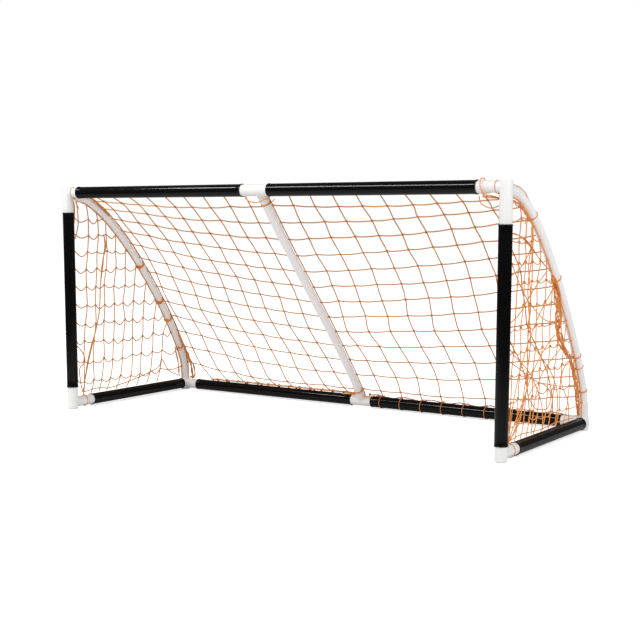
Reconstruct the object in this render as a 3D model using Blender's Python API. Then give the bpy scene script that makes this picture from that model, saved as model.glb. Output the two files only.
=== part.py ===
"""Portable soccer goal: a plug-together tube frame, loose sleeves on its bars, and a cord net.

Metres, +Z up. The origin lies on the ground under the middle of the goal, the mouth faces -Y
and +X runs along the crossbar. Left and right are those of someone who faces the mouth.
"""

import math

import bmesh
import bpy
from mathutils import Vector

# Frame, measured between the axes of the tubes.
GOAL_WIDTH = 2.44
GOAL_HEIGHT = 1.08
GOAL_DEPTH = 0.90
GROUND_TUBE_HEIGHT = 0.035

# Clearances.
FIT_GAP = 0.0003
SLEEVE_PLAY = 0.0005
STOP_GAP = 0.0015

# White tubes that carry the frame, and the thinner tubes of the stays.
TUBE_OD = 0.048
TUBE_WALL = 0.0020
STAY_OD = 0.040
STAY_WALL = 0.0018

# Sockets of the moulded fittings.
SOCKET_WALL = 0.0024
SOCKET_DEPTH = 0.050
SOCKET_FLOOR = 0.004
MOUTH_EDGE = 0.0010
FOOT_ROUND = 0.008
CAP_ROUND = 0.006

# Black sleeves that slide on the bars.
SLEEVE_WALL = 0.0015
RIM_HEIGHT = 0.00175
RIM_LENGTH = 0.005
RIM_SLOPE = 0.001

# How much shorter each sleeve is than the span of its bar, axis to axis.
POST_SLEEVE_SHORT = 0.180
CROSSBAR_SLEEVE_SHORT = 0.177
REAR_SLEEVE_SHORT = 0.165
SIDE_SLEEVE_SHORT = 0.165

# Where each fitting's sockets end, from the crossing of its axes.
CORNER_POST_MOUTH = 0.165
CORNER_BAR_MOUTH = 0.124
CORNER_STAY_MOUTH = 0.100
TEE_HALF_LENGTH = 0.110
TEE_STEM_MOUTH = 0.068
ELBOW_POST_MOUTH = 0.110
ELBOW_SIDE_MOUTH = 0.140
REAR_BAR_MOUTH = 0.120
REAR_SIDE_MOUTH = 0.120
REAR_STAY_MOUTH = 0.100

# Where each sleeve lies at rest: its near end, from the axis of the fitting it starts at.
LEFT_POST_SLEEVE_UP = 0.0795
RIGHT_POST_SLEEVE_UP = 0.031
CROSSBAR_LEFT_START = 0.079
CROSSBAR_RIGHT_START = 0.051
REAR_LEFT_START = 0.101
REAR_RIGHT_START = 0.059
SIDE_LEFT_START = 0.132
SIDE_RIGHT_START = 0.127

# Stays: slopes at their ends in degrees, and the pull of the curve there. The middle stay's
# ends are a little steeper than the straight line between its fittings.
SIDE_STAY_TOP_SLOPE = 14.7
SIDE_STAY_FOOT_SLOPE = 85.0
SIDE_STAY_TOP_PULL = 0.291
SIDE_STAY_FOOT_PULL = 0.177
MIDDLE_STAY_TOP_STEEPER = 1.8
MIDDLE_STAY_FOOT_STEEPER = 3.8
MIDDLE_STAY_PULL = 0.40

# Net and cords.
NET_CORD = 0.004
NET_COLUMNS = 10
NET_BANDS = (4, 4, 3)
SIDE_MESH = 0.124
SMALLEST_MESH_SHARE = 0.18
TIE_CORD = 0.0026
LACING_CORD = 0.0028
LACING_TURN_POINTS = 12
LACING_FIRST_COLUMN = 0.68
LACING_LAST_COLUMN = 8.68
NECK_TIE_PLACE = 0.040
ELBOW_TIE_PLACE = 0.080
STAY_TIE_PAST_MOUTH = 0.006
LEFT_STAY_TIE_ROWS = (5, 7, 8, 9.5)
RIGHT_STAY_TIE_ROWS = (2, 5, 8.5, 9, 10)

# Facets.
SIDES = 16
CURVE_SAMPLES = 480
WELD_DISTANCE = 0.000002

# Sizes that follow from the ones above.
TUBE_RADIUS = TUBE_OD / 2
BORE_RADIUS = TUBE_RADIUS + FIT_GAP
SOCKET_RADIUS = BORE_RADIUS + SOCKET_WALL
NECK_RADIUS = TUBE_RADIUS
STAY_RADIUS = STAY_OD / 2
STAY_BORE = STAY_RADIUS + FIT_GAP
STAY_SOCKET = STAY_BORE + SOCKET_WALL
SLEEVE_BORE = SOCKET_RADIUS + SLEEVE_PLAY
SLEEVE_RADIUS = SLEEVE_BORE + SLEEVE_WALL
RIM_RADIUS = SLEEVE_RADIUS + RIM_HEIGHT
LACING_CENTRE = (SLEEVE_RADIUS + FIT_GAP + LACING_CORD / 2) / math.cos(math.pi / LACING_TURN_POINTS)
LACING_REACH = LACING_CENTRE + LACING_CORD / 2
SOCKET_FLAT = STAY_SOCKET * math.cos(math.pi / SIDES)
NET_OVER_STAY = SOCKET_FLAT + FIT_GAP + NET_CORD / 2
NET_UNDER_STAY = SOCKET_FLAT + FIT_GAP
NET_BESIDE_STAY = ((SOCKET_FLAT + FIT_GAP) * math.sqrt(2) + NET_CORD / 2) / 2
NET_BEHIND_POST = RIM_RADIUS + FIT_GAP
NET_BY_RIM = RIM_RADIUS + FIT_GAP + NET_CORD / 2
NET_BY_LACING = LACING_REACH + FIT_GAP + NET_CORD / 2

HALF_WIDTH = GOAL_WIDTH / 2
NET_COLUMN = (HALF_WIDTH - NET_BESIDE_STAY) / NET_COLUMNS
LACING_START = NET_COLUMN * LACING_FIRST_COLUMN
POST_SLEEVE = GOAL_HEIGHT - POST_SLEEVE_SHORT
CROSSBAR_SLEEVE = HALF_WIDTH - CROSSBAR_SLEEVE_SHORT
REAR_SLEEVE = HALF_WIDTH - REAR_SLEEVE_SHORT
SIDE_SLEEVE = GOAL_DEPTH - SIDE_SLEEVE_SHORT
FRONT_Y = -(GOAL_DEPTH + LACING_REACH - RIM_RADIUS) / 2
REAR_Y = FRONT_Y + GOAL_DEPTH
LOW_Z = GROUND_TUBE_HEIGHT
BAR_Z = LOW_Z + GOAL_HEIGHT

X_AXIS = Vector((1, 0, 0))
Y_AXIS = Vector((0, 1, 0))
Z_AXIS = Vector((0, 0, 1))
SIDE_NAMES = {-1: "left", 1: "right"}


def clear_scene():
    """Starts from an empty scene."""
    for item in list(bpy.data.objects):
        bpy.data.objects.remove(item, do_unlink=True)


def plastic(name, colour, roughness):
    """A Principled material of one moulded plastic."""
    material = bpy.data.materials.new(name)
    material.use_nodes = True
    shader = material.node_tree.nodes["Principled BSDF"]
    shader.inputs["Base Color"].default_value = (*colour, 1.0)
    shader.inputs["Roughness"].default_value = roughness
    shader.inputs["Metallic"].default_value = 0.0
    return material


def cross_axes(direction):
    """The axis and two directions across it, chosen so that facets of coaxial pieces line up."""
    along = Vector(direction).normalized()
    across = Z_AXIS if abs(along.x) > 0.5 else X_AXIS
    return along, across, along.cross(across).normalized()


def turned(profile, direction, closed=False):
    """A mesh spun round an axis from a profile of (distance along, radius) pairs."""
    along, across, other = cross_axes(direction)
    half_facet = math.pi / SIDES
    spoke = across * math.cos(half_facet) + other * math.sin(half_facet)
    bm = bmesh.new()
    points = [bm.verts.new(along * distance + spoke * radius) for distance, radius in profile]
    lines = [bm.edges.new(pair) for pair in zip(points, points[1:])]
    if closed:
        lines.append(bm.edges.new((points[-1], points[0])))
    bmesh.ops.spin(bm, geom=points + lines, cent=(0, 0, 0), axis=along, angle=2 * math.pi,
                   steps=SIDES, use_merge=True)
    bmesh.ops.holes_fill(bm, edges=[edge for edge in bm.edges if edge.is_boundary], sides=0)
    return finished_mesh(bm)


def finished_mesh(bm):
    """Turns a bmesh into a mesh with its faces outwards and its round faces smooth."""
    bmesh.ops.recalc_face_normals(bm, faces=bm.faces)
    mesh = bpy.data.meshes.new("shape")
    bm.to_mesh(mesh)
    bm.free()
    mesh.shade_smooth()
    mesh.set_sharp_from_angle(angle=math.radians(35))
    return mesh


def place(name, mesh, material, location=(0, 0, 0)):
    """Adds one named piece with its own origin."""
    mesh.name = name
    mesh.materials.clear()
    mesh.materials.append(material)
    piece = bpy.data.objects.new(name, mesh)
    piece.location = location
    bpy.context.collection.objects.link(piece)
    return piece


def moulding(name, solids, cutters, material, location):
    """One moulded body: the solids joined into one, then the cutters taken out of it."""
    piece = place(name, solids[0], material, location)
    steps = [("UNION", mesh) for mesh in solids[1:]]
    steps += [("DIFFERENCE", mesh) for mesh in cutters]
    helpers = []
    for operation, mesh in steps:
        helper = place(name + "_" + operation.lower(), mesh, material, location)
        helper.hide_render = True
        helper.display_type = "WIRE"
        modifier = piece.modifiers.new(operation.lower(), "BOOLEAN")
        modifier.operation = operation
        modifier.solver = "EXACT"
        modifier.object = helper
        helpers.append(helper)
    bpy.context.view_layer.update()
    evaluated = piece.evaluated_get(bpy.context.evaluated_depsgraph_get())
    bm = bmesh.new()
    bm.from_mesh(evaluated.data)
    bmesh.ops.remove_doubles(bm, verts=bm.verts, dist=WELD_DISTANCE)
    bmesh.ops.holes_fill(bm, edges=[edge for edge in bm.edges if edge.is_boundary], sides=0)
    bmesh.ops.dissolve_degenerate(bm, dist=WELD_DISTANCE, edges=bm.edges)
    whole = finished_mesh(bm)
    whole.name = name
    whole.materials.append(material)
    piece.modifiers.clear()
    piece.data = whole
    for helper in helpers:
        bpy.data.objects.remove(helper, do_unlink=True)
    return piece


def socket_arm(direction, mouth, neck_end=0.0, radius=SOCKET_RADIUS):
    """An arm of a fitting from its centre to its mouth; up to neck_end it has a thin neck."""
    collar = [(mouth - MOUTH_EDGE, radius), (mouth, radius - MOUTH_EDGE)]
    if neck_end > 0:
        shoulder = neck_end + radius - NECK_RADIUS
        neck = [(0, NECK_RADIUS), (neck_end, NECK_RADIUS), (shoulder, radius)]
    else:
        neck = [(0, radius)]
    return turned(neck + collar, direction)


def socket_bore(direction, mouth, radius=BORE_RADIUS):
    """The cutter of a socket's bore, a little longer than the socket so that it opens the mouth."""
    profile = [(mouth - SOCKET_DEPTH, radius), (mouth + SOCKET_FLOOR, radius)]
    return turned(profile, direction)


def standing_body(bottom, top, foot_round, cap_round, cap_edge):
    """An upright round body whose lower and upper edges are rounded off."""
    profile = [
        (bottom, SOCKET_RADIUS - foot_round),
        (bottom + foot_round * 0.3, SOCKET_RADIUS - foot_round * 0.3),
        (bottom + foot_round, SOCKET_RADIUS),
        (top - cap_round, SOCKET_RADIUS),
    ]
    if cap_edge:
        profile.append((top - cap_round * 0.3, SOCKET_RADIUS - cap_round * 0.3))
    profile.append((top, SOCKET_RADIUS - cap_round))
    return turned(profile, Z_AXIS)


def sloping(degrees_down):
    """A direction towards the back of the goal that falls by an angle."""
    angle = math.radians(degrees_down)
    return Vector((0, math.cos(angle), -math.sin(angle)))


class StayLine:
    """The centre line of a stay in the Y-Z plane, from the crossbar's axis to the rear bar's."""

    def __init__(self, top_slope, foot_slope, top_mouth, foot_mouth, top_pull, foot_pull):
        self.top_way = sloping(top_slope)
        self.foot_way = -sloping(foot_slope)
        self.top_mouth = top_mouth
        self.foot_mouth = foot_mouth
        top = Vector((0, FRONT_Y, BAR_Z))
        foot = Vector((0, REAR_Y, LOW_Z))
        first = top + self.top_way * top_mouth
        last = foot + self.foot_way * foot_mouth
        pull_first = first + self.top_way * top_pull
        pull_last = last + self.foot_way * foot_pull
        self.points = [top]
        for step in range(CURVE_SAMPLES + 1):
            t = step / CURVE_SAMPLES
            u = 1 - t
            self.points.append(first * u ** 3 + pull_first * 3 * u * u * t
                               + pull_last * 3 * u * t * t + last * t ** 3)
        self.points.append(foot)
        self.reach = [0.0]
        for before, after in zip(self.points, self.points[1:]):
            self.reach.append(self.reach[-1] + (after - before).length)
        self.length = self.reach[-1]

    def at(self, distance):
        """The point at a distance along the line, and the line's outward normal there."""
        last = len(self.points) - 1
        index = next((i for i in range(1, last) if self.reach[i] >= distance), last)
        before = self.points[index - 1]
        after = self.points[index]
        share = (distance - self.reach[index - 1]) / (self.reach[index] - self.reach[index - 1])
        way = (after - before).normalized()
        return before.lerp(after, share), X_AXIS.cross(way)

    def stations(self, first, last, count):
        """Distances along the line that share out the stretch between two of them."""
        return [first + (last - first) * step / count for step in range(count + 1)]


def bent_tube(line, distances):
    """A hollow tube along a stay's line with a ring of points at each of the distances."""
    half_facet = math.pi / SIDES
    bm = bmesh.new()
    walls = []
    for radius in (STAY_RADIUS, STAY_RADIUS - STAY_WALL):
        rings = []
        for distance in distances:
            centre, normal = line.at(distance)
            ring = []
            for side in range(SIDES):
                angle = half_facet + 2 * half_facet * side
                spoke = X_AXIS * math.cos(angle) + normal * math.sin(angle)
                ring.append(bm.verts.new(centre + spoke * radius))
            rings.append(ring)
        walls.append(rings)
    outer, inner = walls
    strips = list(zip(outer, outer[1:])) + list(zip(inner, inner[1:]))
    strips += [(outer[0], inner[0]), (outer[-1], inner[-1])]
    for near, far in strips:
        for side in range(SIDES):
            after = (side + 1) % SIDES
            bm.faces.new((near[side], near[after], far[after], far[side]))
    return finished_mesh(bm)


def corded(bm, normal_of):
    """Makes a net of a sheet: each face becomes a gap, and its edges a cord of four sides."""
    half = NET_CORD / 2
    lines = set(bm.verts)
    lift = {point: normal_of(point) * half for point in lines}
    gaps = list(bm.faces)
    bmesh.ops.inset_individual(bm, faces=gaps, thickness=half, use_even_offset=True)
    bmesh.ops.delete(bm, geom=gaps, context="FACES_ONLY")
    net = bmesh.new()
    upper = {}
    lower = {}
    for point in bm.verts:
        if point in lines:
            upper[point] = net.verts.new(point.co + lift[point])
            lower[point] = net.verts.new(point.co - lift[point])
        else:
            upper[point] = net.verts.new(point.co)
            lower[point] = upper[point]
    for strip in bm.faces:
        net.faces.new([upper[point] for point in strip.verts])
        net.faces.new([lower[point] for point in reversed(strip.verts)])
    for edge in bm.edges:
        first, second = edge.verts
        if edge.is_boundary and first in lines and second in lines:
            net.faces.new((upper[first], upper[second], lower[second], lower[first]))
    bm.free()
    return finished_mesh(net)


def back_net_panel(side, first_row, last_row, middle_rail, side_rail, side_border):
    """One panel of the back net, ruled between the middle stay's rail and a side stay's."""
    seam = FIT_GAP / 2
    outer_x = HALF_WIDTH - NET_BESIDE_STAY
    last_of_all = len(middle_rail) - 1
    normals = {}
    bm = bmesh.new()
    grid = []
    for row in range(first_row, last_row + 1):
        ends = []
        for rail in (middle_rail, side_rail):
            point, normal = rail[row]
            shift = Vector()
            if row == first_row and row > 0:
                shift = rail[row + 1][0] - point
            if row == last_row and row < last_of_all:
                shift = rail[row - 1][0] - point
            ends.append((point + shift.normalized() * seam, normal))
        (middle, middle_normal), (outside, outside_normal) = ends
        line = []
        for column in range(NET_COLUMNS + 1):
            share = column / NET_COLUMNS
            point = middle.lerp(outside, share)
            point.x = side * (seam + (outer_x - seam) * share)
            line.append(bm.verts.new(point))
            normals[line[-1]] = middle_normal.lerp(outside_normal, share).normalized()
        grid.append(line)
    for above, below, border in zip(grid, grid[1:], side_border[first_row:last_row]):
        edge = []
        for point, normal in reversed(border):
            edge.append(bm.verts.new((side * outer_x, point.y, point.z)))
            normals[edge[-1]] = normal
        for column in range(NET_COLUMNS):
            corners = [above[column], below[column], below[column + 1]]
            if column == NET_COLUMNS - 1:
                corners += edge
            bm.faces.new(corners + [above[column + 1]])
    bmesh.ops.recalc_face_normals(bm, faces=bm.faces)
    return corded(bm, lambda point: normals[point])


def side_net_panel(side, line, distances):
    """A side net: square meshes that fill the space between a post, a side bar and a stay."""
    front = FRONT_Y + NET_BEHIND_POST
    bottom = LOW_Z + NET_BEHIND_POST
    curve = []
    for distance in distances:
        centre, normal = line.at(distance)
        point = centre - normal * NET_UNDER_STAY
        if point.y > front and point.z > bottom:
            curve.append(point)
    top_way, foot_way = line.top_way, line.foot_way
    start, start_normal = line.at(0)
    end, end_normal = line.at(line.length)
    start -= start_normal * NET_UNDER_STAY
    end -= end_normal * NET_UNDER_STAY
    curve.insert(0, start + top_way * ((front - start.y) / top_way.y))
    curve.append(end + foot_way * ((bottom - end.z) / foot_way.z))
    corner = Vector((0, front, bottom))
    bm = bmesh.new()
    outline = [bm.verts.new((side * HALF_WIDTH, point.y, point.z)) for point in [corner] + curve]
    bm.faces.new(outline)
    highest = max(point.z for point in curve)
    deepest = max(point.y for point in curve)
    for axis, first, last in ((Y_AXIS, front, deepest), (Z_AXIS, bottom, highest)):
        place_of_line = first + SIDE_MESH
        while place_of_line < last:
            whole = list(bm.verts) + list(bm.edges) + list(bm.faces)
            bmesh.ops.bisect_plane(bm, geom=whole, plane_co=axis * place_of_line, plane_no=axis)
            place_of_line += SIDE_MESH
    smallest = SMALLEST_MESH_SHARE * SIDE_MESH ** 2
    small = next((face for face in bm.faces if face.calc_area() < smallest), None)
    while small:
        shared = [edge for edge in small.edges if len(edge.link_faces) == 2]
        widest = max(shared, key=lambda edge: edge.calc_length())
        bmesh.ops.dissolve_edges(bm, edges=[widest], use_verts=False)
        small = next((face for face in bm.faces if face.calc_area() < smallest), None)
    bmesh.ops.recalc_face_normals(bm, faces=bm.faces)
    return corded(bm, lambda point: X_AXIS)


def cord_tie(name, centre, direction, held_radius, material):
    """A loop of cord drawn round a tube or an arm of a known radius."""
    half = TIE_CORD / 2
    middle = held_radius + FIT_GAP + half
    profile = [(0, middle - half), (half, middle), (0, middle + half), (-half, middle)]
    return place(name, turned(profile, direction, closed=True), material, centre)


def lacing_route(first_x, last_x, turns):
    """Points of a cord wound round the rear bar's sleeve, an equal step apart."""
    steps = turns * LACING_TURN_POINTS
    points = []
    for step in range(steps + 1):
        angle = math.pi / 2 + 2 * math.pi * step / LACING_TURN_POINTS
        x = first_x + (last_x - first_x) * step / steps
        y = REAR_Y + LACING_CENTRE * math.cos(angle)
        z = LOW_Z + LACING_CENTRE * math.sin(angle)
        points.append(Vector((x, y, z)))
    return points


def least_gap(points, diameter, turn_points):
    """The least free distance between a wound cord's turns."""
    least = math.inf
    for index, point in enumerate(points):
        for other in points[index + turn_points // 2:]:
            least = min(least, (point - other).length - diameter)
    return least


def cord_tube(name, points, diameter, material):
    """A cord along a route, with filled ends."""
    curve = bpy.data.curves.new(name, "CURVE")
    curve.dimensions = "3D"
    curve.bevel_depth = diameter / 2
    curve.bevel_resolution = 1
    curve.use_fill_caps = True
    spline = curve.splines.new("POLY")
    spline.points.add(len(points) - 1)
    for target, point in zip(spline.points, points):
        target.co = (*point, 1.0)
    curve.materials.append(material)
    piece = bpy.data.objects.new(name, curve)
    bpy.context.collection.objects.link(piece)
    return piece


def straight_tube(name, start, end, material):
    """A hollow tube between two points, its origin at the first."""
    way = Vector(end) - Vector(start)
    inner = TUBE_RADIUS - TUBE_WALL
    profile = [(0, inner), (0, TUBE_RADIUS), (way.length, TUBE_RADIUS), (way.length, inner)]
    return place(name, turned(profile, way, closed=True), material, start)


def sleeve(name, start, direction, length, material):
    """A thin sleeve with a raised rim at each end, its origin on its bar's axis."""
    slope = RIM_LENGTH + RIM_SLOPE
    profile = [
        (0, SLEEVE_BORE),
        (0, RIM_RADIUS),
        (RIM_LENGTH, RIM_RADIUS),
        (slope, SLEEVE_RADIUS),
        (length - slope, SLEEVE_RADIUS),
        (length - RIM_LENGTH, RIM_RADIUS),
        (length, RIM_RADIUS),
        (length, SLEEVE_BORE),
    ]
    return place(name, turned(profile, direction, closed=True), material, start)


def make_top_corner(side, stay_line, material):
    """The corner that joins a post, the crossbar and a side stay."""
    inward = -side * X_AXIS
    body = standing_body(-CORNER_POST_MOUTH, SOCKET_RADIUS, MOUTH_EDGE, CAP_ROUND, True)
    neck_end = CORNER_BAR_MOUTH - SOCKET_DEPTH - SOCKET_FLOOR
    arms = [
        socket_arm(inward, CORNER_BAR_MOUTH, neck_end),
        socket_arm(stay_line.top_way, CORNER_STAY_MOUTH, radius=STAY_SOCKET),
    ]
    bores = [
        socket_bore(-Z_AXIS, CORNER_POST_MOUTH),
        socket_bore(inward, CORNER_BAR_MOUTH),
        socket_bore(stay_line.top_way, CORNER_STAY_MOUTH, STAY_BORE),
    ]
    centre = (side * HALF_WIDTH, FRONT_Y, BAR_Z)
    moulding("top_corner_" + SIDE_NAMES[side], [body] + arms, bores, material, centre)


def make_front_elbow(side, material):
    """The foot of a post, with a flat sole and an arm for the side bar."""
    body = standing_body(-LOW_Z, ELBOW_POST_MOUTH, FOOT_ROUND, MOUTH_EDGE, False)
    arms = [socket_arm(Y_AXIS, ELBOW_SIDE_MOUTH)]
    bores = [socket_bore(Z_AXIS, ELBOW_POST_MOUTH), socket_bore(Y_AXIS, ELBOW_SIDE_MOUTH)]
    centre = (side * HALF_WIDTH, FRONT_Y, LOW_Z)
    moulding("front_elbow_" + SIDE_NAMES[side], [body] + arms, bores, material, centre)


def make_rear_corner(side, stay_line, material):
    """The rear foot that joins a side bar, the rear bar and a side stay."""
    inward = -side * X_AXIS
    body = standing_body(-LOW_Z, SOCKET_RADIUS, FOOT_ROUND, CAP_ROUND, True)
    bars = ((inward, REAR_BAR_MOUTH), (-Y_AXIS, REAR_SIDE_MOUTH))
    arms = [socket_arm(way, mouth) for way, mouth in bars]
    arms.append(socket_arm(stay_line.foot_way, REAR_STAY_MOUTH, radius=STAY_SOCKET))
    bores = [socket_bore(way, mouth) for way, mouth in bars]
    bores.append(socket_bore(stay_line.foot_way, REAR_STAY_MOUTH, STAY_BORE))
    centre = (side * HALF_WIDTH, REAR_Y, LOW_Z)
    moulding("rear_corner_" + SIDE_NAMES[side], [body] + arms, bores, material, centre)


def make_tee(name, stem_way, centre, material):
    """A straight barrel that joins the halves of a bar, with a stem for the middle stay."""
    edge = TEE_HALF_LENGTH - MOUTH_EDGE
    profile = [
        (-TEE_HALF_LENGTH, SOCKET_RADIUS - MOUTH_EDGE),
        (-edge, SOCKET_RADIUS),
        (edge, SOCKET_RADIUS),
        (TEE_HALF_LENGTH, SOCKET_RADIUS - MOUTH_EDGE),
    ]
    barrel = turned(profile, X_AXIS)
    stem = socket_arm(stem_way, TEE_STEM_MOUTH, radius=STAY_SOCKET)
    bores = [
        socket_bore(X_AXIS, TEE_HALF_LENGTH),
        socket_bore(-X_AXIS, TEE_HALF_LENGTH),
        socket_bore(stem_way, TEE_STEM_MOUTH, STAY_BORE),
    ]
    moulding(name, [barrel, stem], bores, material, centre)


def make_straight_tubes(material):
    """The posts, the halves of the crossbar and of the rear bar, and the side bars."""
    seat = SOCKET_DEPTH - FIT_GAP
    for side, word in SIDE_NAMES.items():
        x = side * HALF_WIDTH
        low = LOW_Z + ELBOW_POST_MOUTH - seat
        high = BAR_Z - CORNER_POST_MOUTH + seat
        straight_tube("post_tube_" + word, (x, FRONT_Y, low), (x, FRONT_Y, high), material)
        near = side * (TEE_HALF_LENGTH - seat)
        far = side * (HALF_WIDTH - CORNER_BAR_MOUTH + seat)
        straight_tube("crossbar_tube_" + word, (near, FRONT_Y, BAR_Z), (far, FRONT_Y, BAR_Z), material)
        far = side * (HALF_WIDTH - REAR_BAR_MOUTH + seat)
        straight_tube("rear_tube_" + word, (near, REAR_Y, LOW_Z), (far, REAR_Y, LOW_Z), material)
        front = FRONT_Y + ELBOW_SIDE_MOUTH - seat
        back = REAR_Y - REAR_SIDE_MOUTH + seat
        straight_tube("side_tube_" + word, (x, front, LOW_Z), (x, back, LOW_Z), material)


def make_sleeves(material):
    """The eight loose sleeves, where they lie at rest."""
    left = -HALF_WIDTH
    right = HALF_WIDTH
    starts = (
        ("post_sleeve_left", (left, FRONT_Y, LOW_Z + LEFT_POST_SLEEVE_UP), Z_AXIS, POST_SLEEVE),
        ("post_sleeve_right", (right, FRONT_Y, LOW_Z + RIGHT_POST_SLEEVE_UP), Z_AXIS, POST_SLEEVE),
        ("crossbar_sleeve_left", (left + CROSSBAR_LEFT_START, FRONT_Y, BAR_Z), X_AXIS, CROSSBAR_SLEEVE),
        ("crossbar_sleeve_right", (CROSSBAR_RIGHT_START, FRONT_Y, BAR_Z), X_AXIS, CROSSBAR_SLEEVE),
        ("rear_sleeve_left", (left + REAR_LEFT_START, REAR_Y, LOW_Z), X_AXIS, REAR_SLEEVE),
        ("rear_sleeve_right", (REAR_RIGHT_START, REAR_Y, LOW_Z), X_AXIS, REAR_SLEEVE),
        ("side_sleeve_left", (left, FRONT_Y + SIDE_LEFT_START, LOW_Z), Y_AXIS, SIDE_SLEEVE),
        ("side_sleeve_right", (right, FRONT_Y + SIDE_RIGHT_START, LOW_Z), Y_AXIS, SIDE_SLEEVE),
    )
    for name, start, direction, length in starts:
        sleeve(name, start, direction, length, material)


def tube_stations(line, rows):
    """Where a stay has its rings: its ends, its mouths, and each net row and half row between."""
    seat = SOCKET_DEPTH - FIT_GAP
    first = line.top_mouth
    last = line.length - line.foot_mouth
    halves = [(before + after) / 2 for before, after in zip(rows, rows[1:])]
    margin = STAY_SOCKET / 2
    between = [s for s in sorted(rows + halves) if first + margin < s < last - margin]
    return [first - seat, first] + between + [last, last + seat]


def net_rows(line, offset, top_clear, foot_clear):
    """Distances along a stay of the back net's rows, clear of the bars at both ends."""
    first = math.sqrt(top_clear ** 2 - offset ** 2)
    last = line.length - math.sqrt(foot_clear ** 2 - offset ** 2)
    return line.stations(first, last, sum(NET_BANDS))


def rail_beside(line, distances, offset):
    """Points at an offset outside a stay's line, each with the line's normal."""
    rail = []
    for distance in distances:
        centre, normal = line.at(distance)
        rail.append((centre + normal * offset, normal))
    return rail


def border_points(line, rows, offset):
    """Points of a net's border between its rows: half way, or at a socket's mouth nearby."""
    mouths = (line.top_mouth, line.length - line.foot_mouth)
    between = []
    for above, below in zip(rows, rows[1:]):
        stops = [mouth for mouth in mouths if above < mouth < below]
        half = (above + below) / 2
        if all(abs(half - mouth) > STAY_SOCKET for mouth in stops):
            stops.append(half)
        between.append(rail_beside(line, sorted(stops), offset))
    return between


def make_stays(side_line, middle_line, side_rows, middle_rows, material):
    """The two bent side stays and the middle stay."""
    for side, word in SIDE_NAMES.items():
        mesh = bent_tube(side_line, tube_stations(side_line, side_rows))
        place("side_stay_" + word, mesh, material, (side * HALF_WIDTH, 0, 0))
    few_rows = middle_rows[::3]
    mesh = bent_tube(middle_line, tube_stations(middle_line, few_rows))
    place("middle_stay", mesh, material)


def make_net(side_line, middle_line, side_rows, middle_rows, material):
    """The back net in six panels and the two side nets."""
    outside = rail_beside(side_line, side_rows, NET_BESIDE_STAY)
    border = border_points(side_line, side_rows, NET_BESIDE_STAY)
    middle = rail_beside(middle_line, middle_rows, NET_OVER_STAY)
    halves = [(before + after) / 2 for before, after in zip(side_rows, side_rows[1:])]
    stations = sorted(side_rows + halves)
    for side, word in SIDE_NAMES.items():
        first = 0
        for level, count in zip(("upper", "middle", "lower"), NET_BANDS):
            mesh = back_net_panel(side, first, first + count, middle, outside, border)
            place("net_back_" + level + "_" + word, mesh, material)
            first += count
        place("net_side_" + word, side_net_panel(side, side_line, stations), material)


def make_ties(side_line, middle_line, side_rows, material):
    """Loops of cord that hold the net at the fittings and along the side stays."""
    for side, word in SIDE_NAMES.items():
        x = side * HALF_WIDTH
        neck = (x - side * NECK_TIE_PLACE, FRONT_Y, BAR_Z)
        cord_tie("tie_top_" + word, neck, X_AXIS, NECK_RADIUS, material)
        arm = (x, FRONT_Y + ELBOW_TIE_PLACE, LOW_Z)
        cord_tie("tie_elbow_" + word, arm, Y_AXIS, SOCKET_RADIUS, material)
        rows = LEFT_STAY_TIE_ROWS if side < 0 else RIGHT_STAY_TIE_ROWS
        for number, row in enumerate(rows, start=1):
            above = side_rows[math.floor(row)]
            below = side_rows[math.ceil(row)]
            centre, normal = side_line.at((above + below) / 2)
            name = "tie_stay_" + word + "_" + str(number)
            cord_tie(name, centre + X_AXIS * x, normal.cross(X_AXIS), STAY_RADIUS, material)
    ends = (
        ("tie_tee", TEE_STEM_MOUTH + STAY_TIE_PAST_MOUTH),
        ("tie_rear_tee", middle_line.length - TEE_STEM_MOUTH - STAY_TIE_PAST_MOUTH),
    )
    for name, distance in ends:
        centre, normal = middle_line.at(distance)
        cord_tie(name, centre, normal.cross(X_AXIS), STAY_RADIUS, material)


def make_lacing(material):
    """The cord wound round the right half of the rear bar, one turn to each net column."""
    turns = round(LACING_LAST_COLUMN - LACING_FIRST_COLUMN)
    last_x = NET_COLUMN * LACING_LAST_COLUMN
    points = lacing_route(LACING_START, last_x, turns)
    cord_tube("rear_lacing", points, LACING_CORD, material)
    gap = least_gap(points, LACING_CORD, LACING_TURN_POINTS)
    print("rear lacing: least gap between its turns, mm:", round(gap * 1000, 1))


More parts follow.
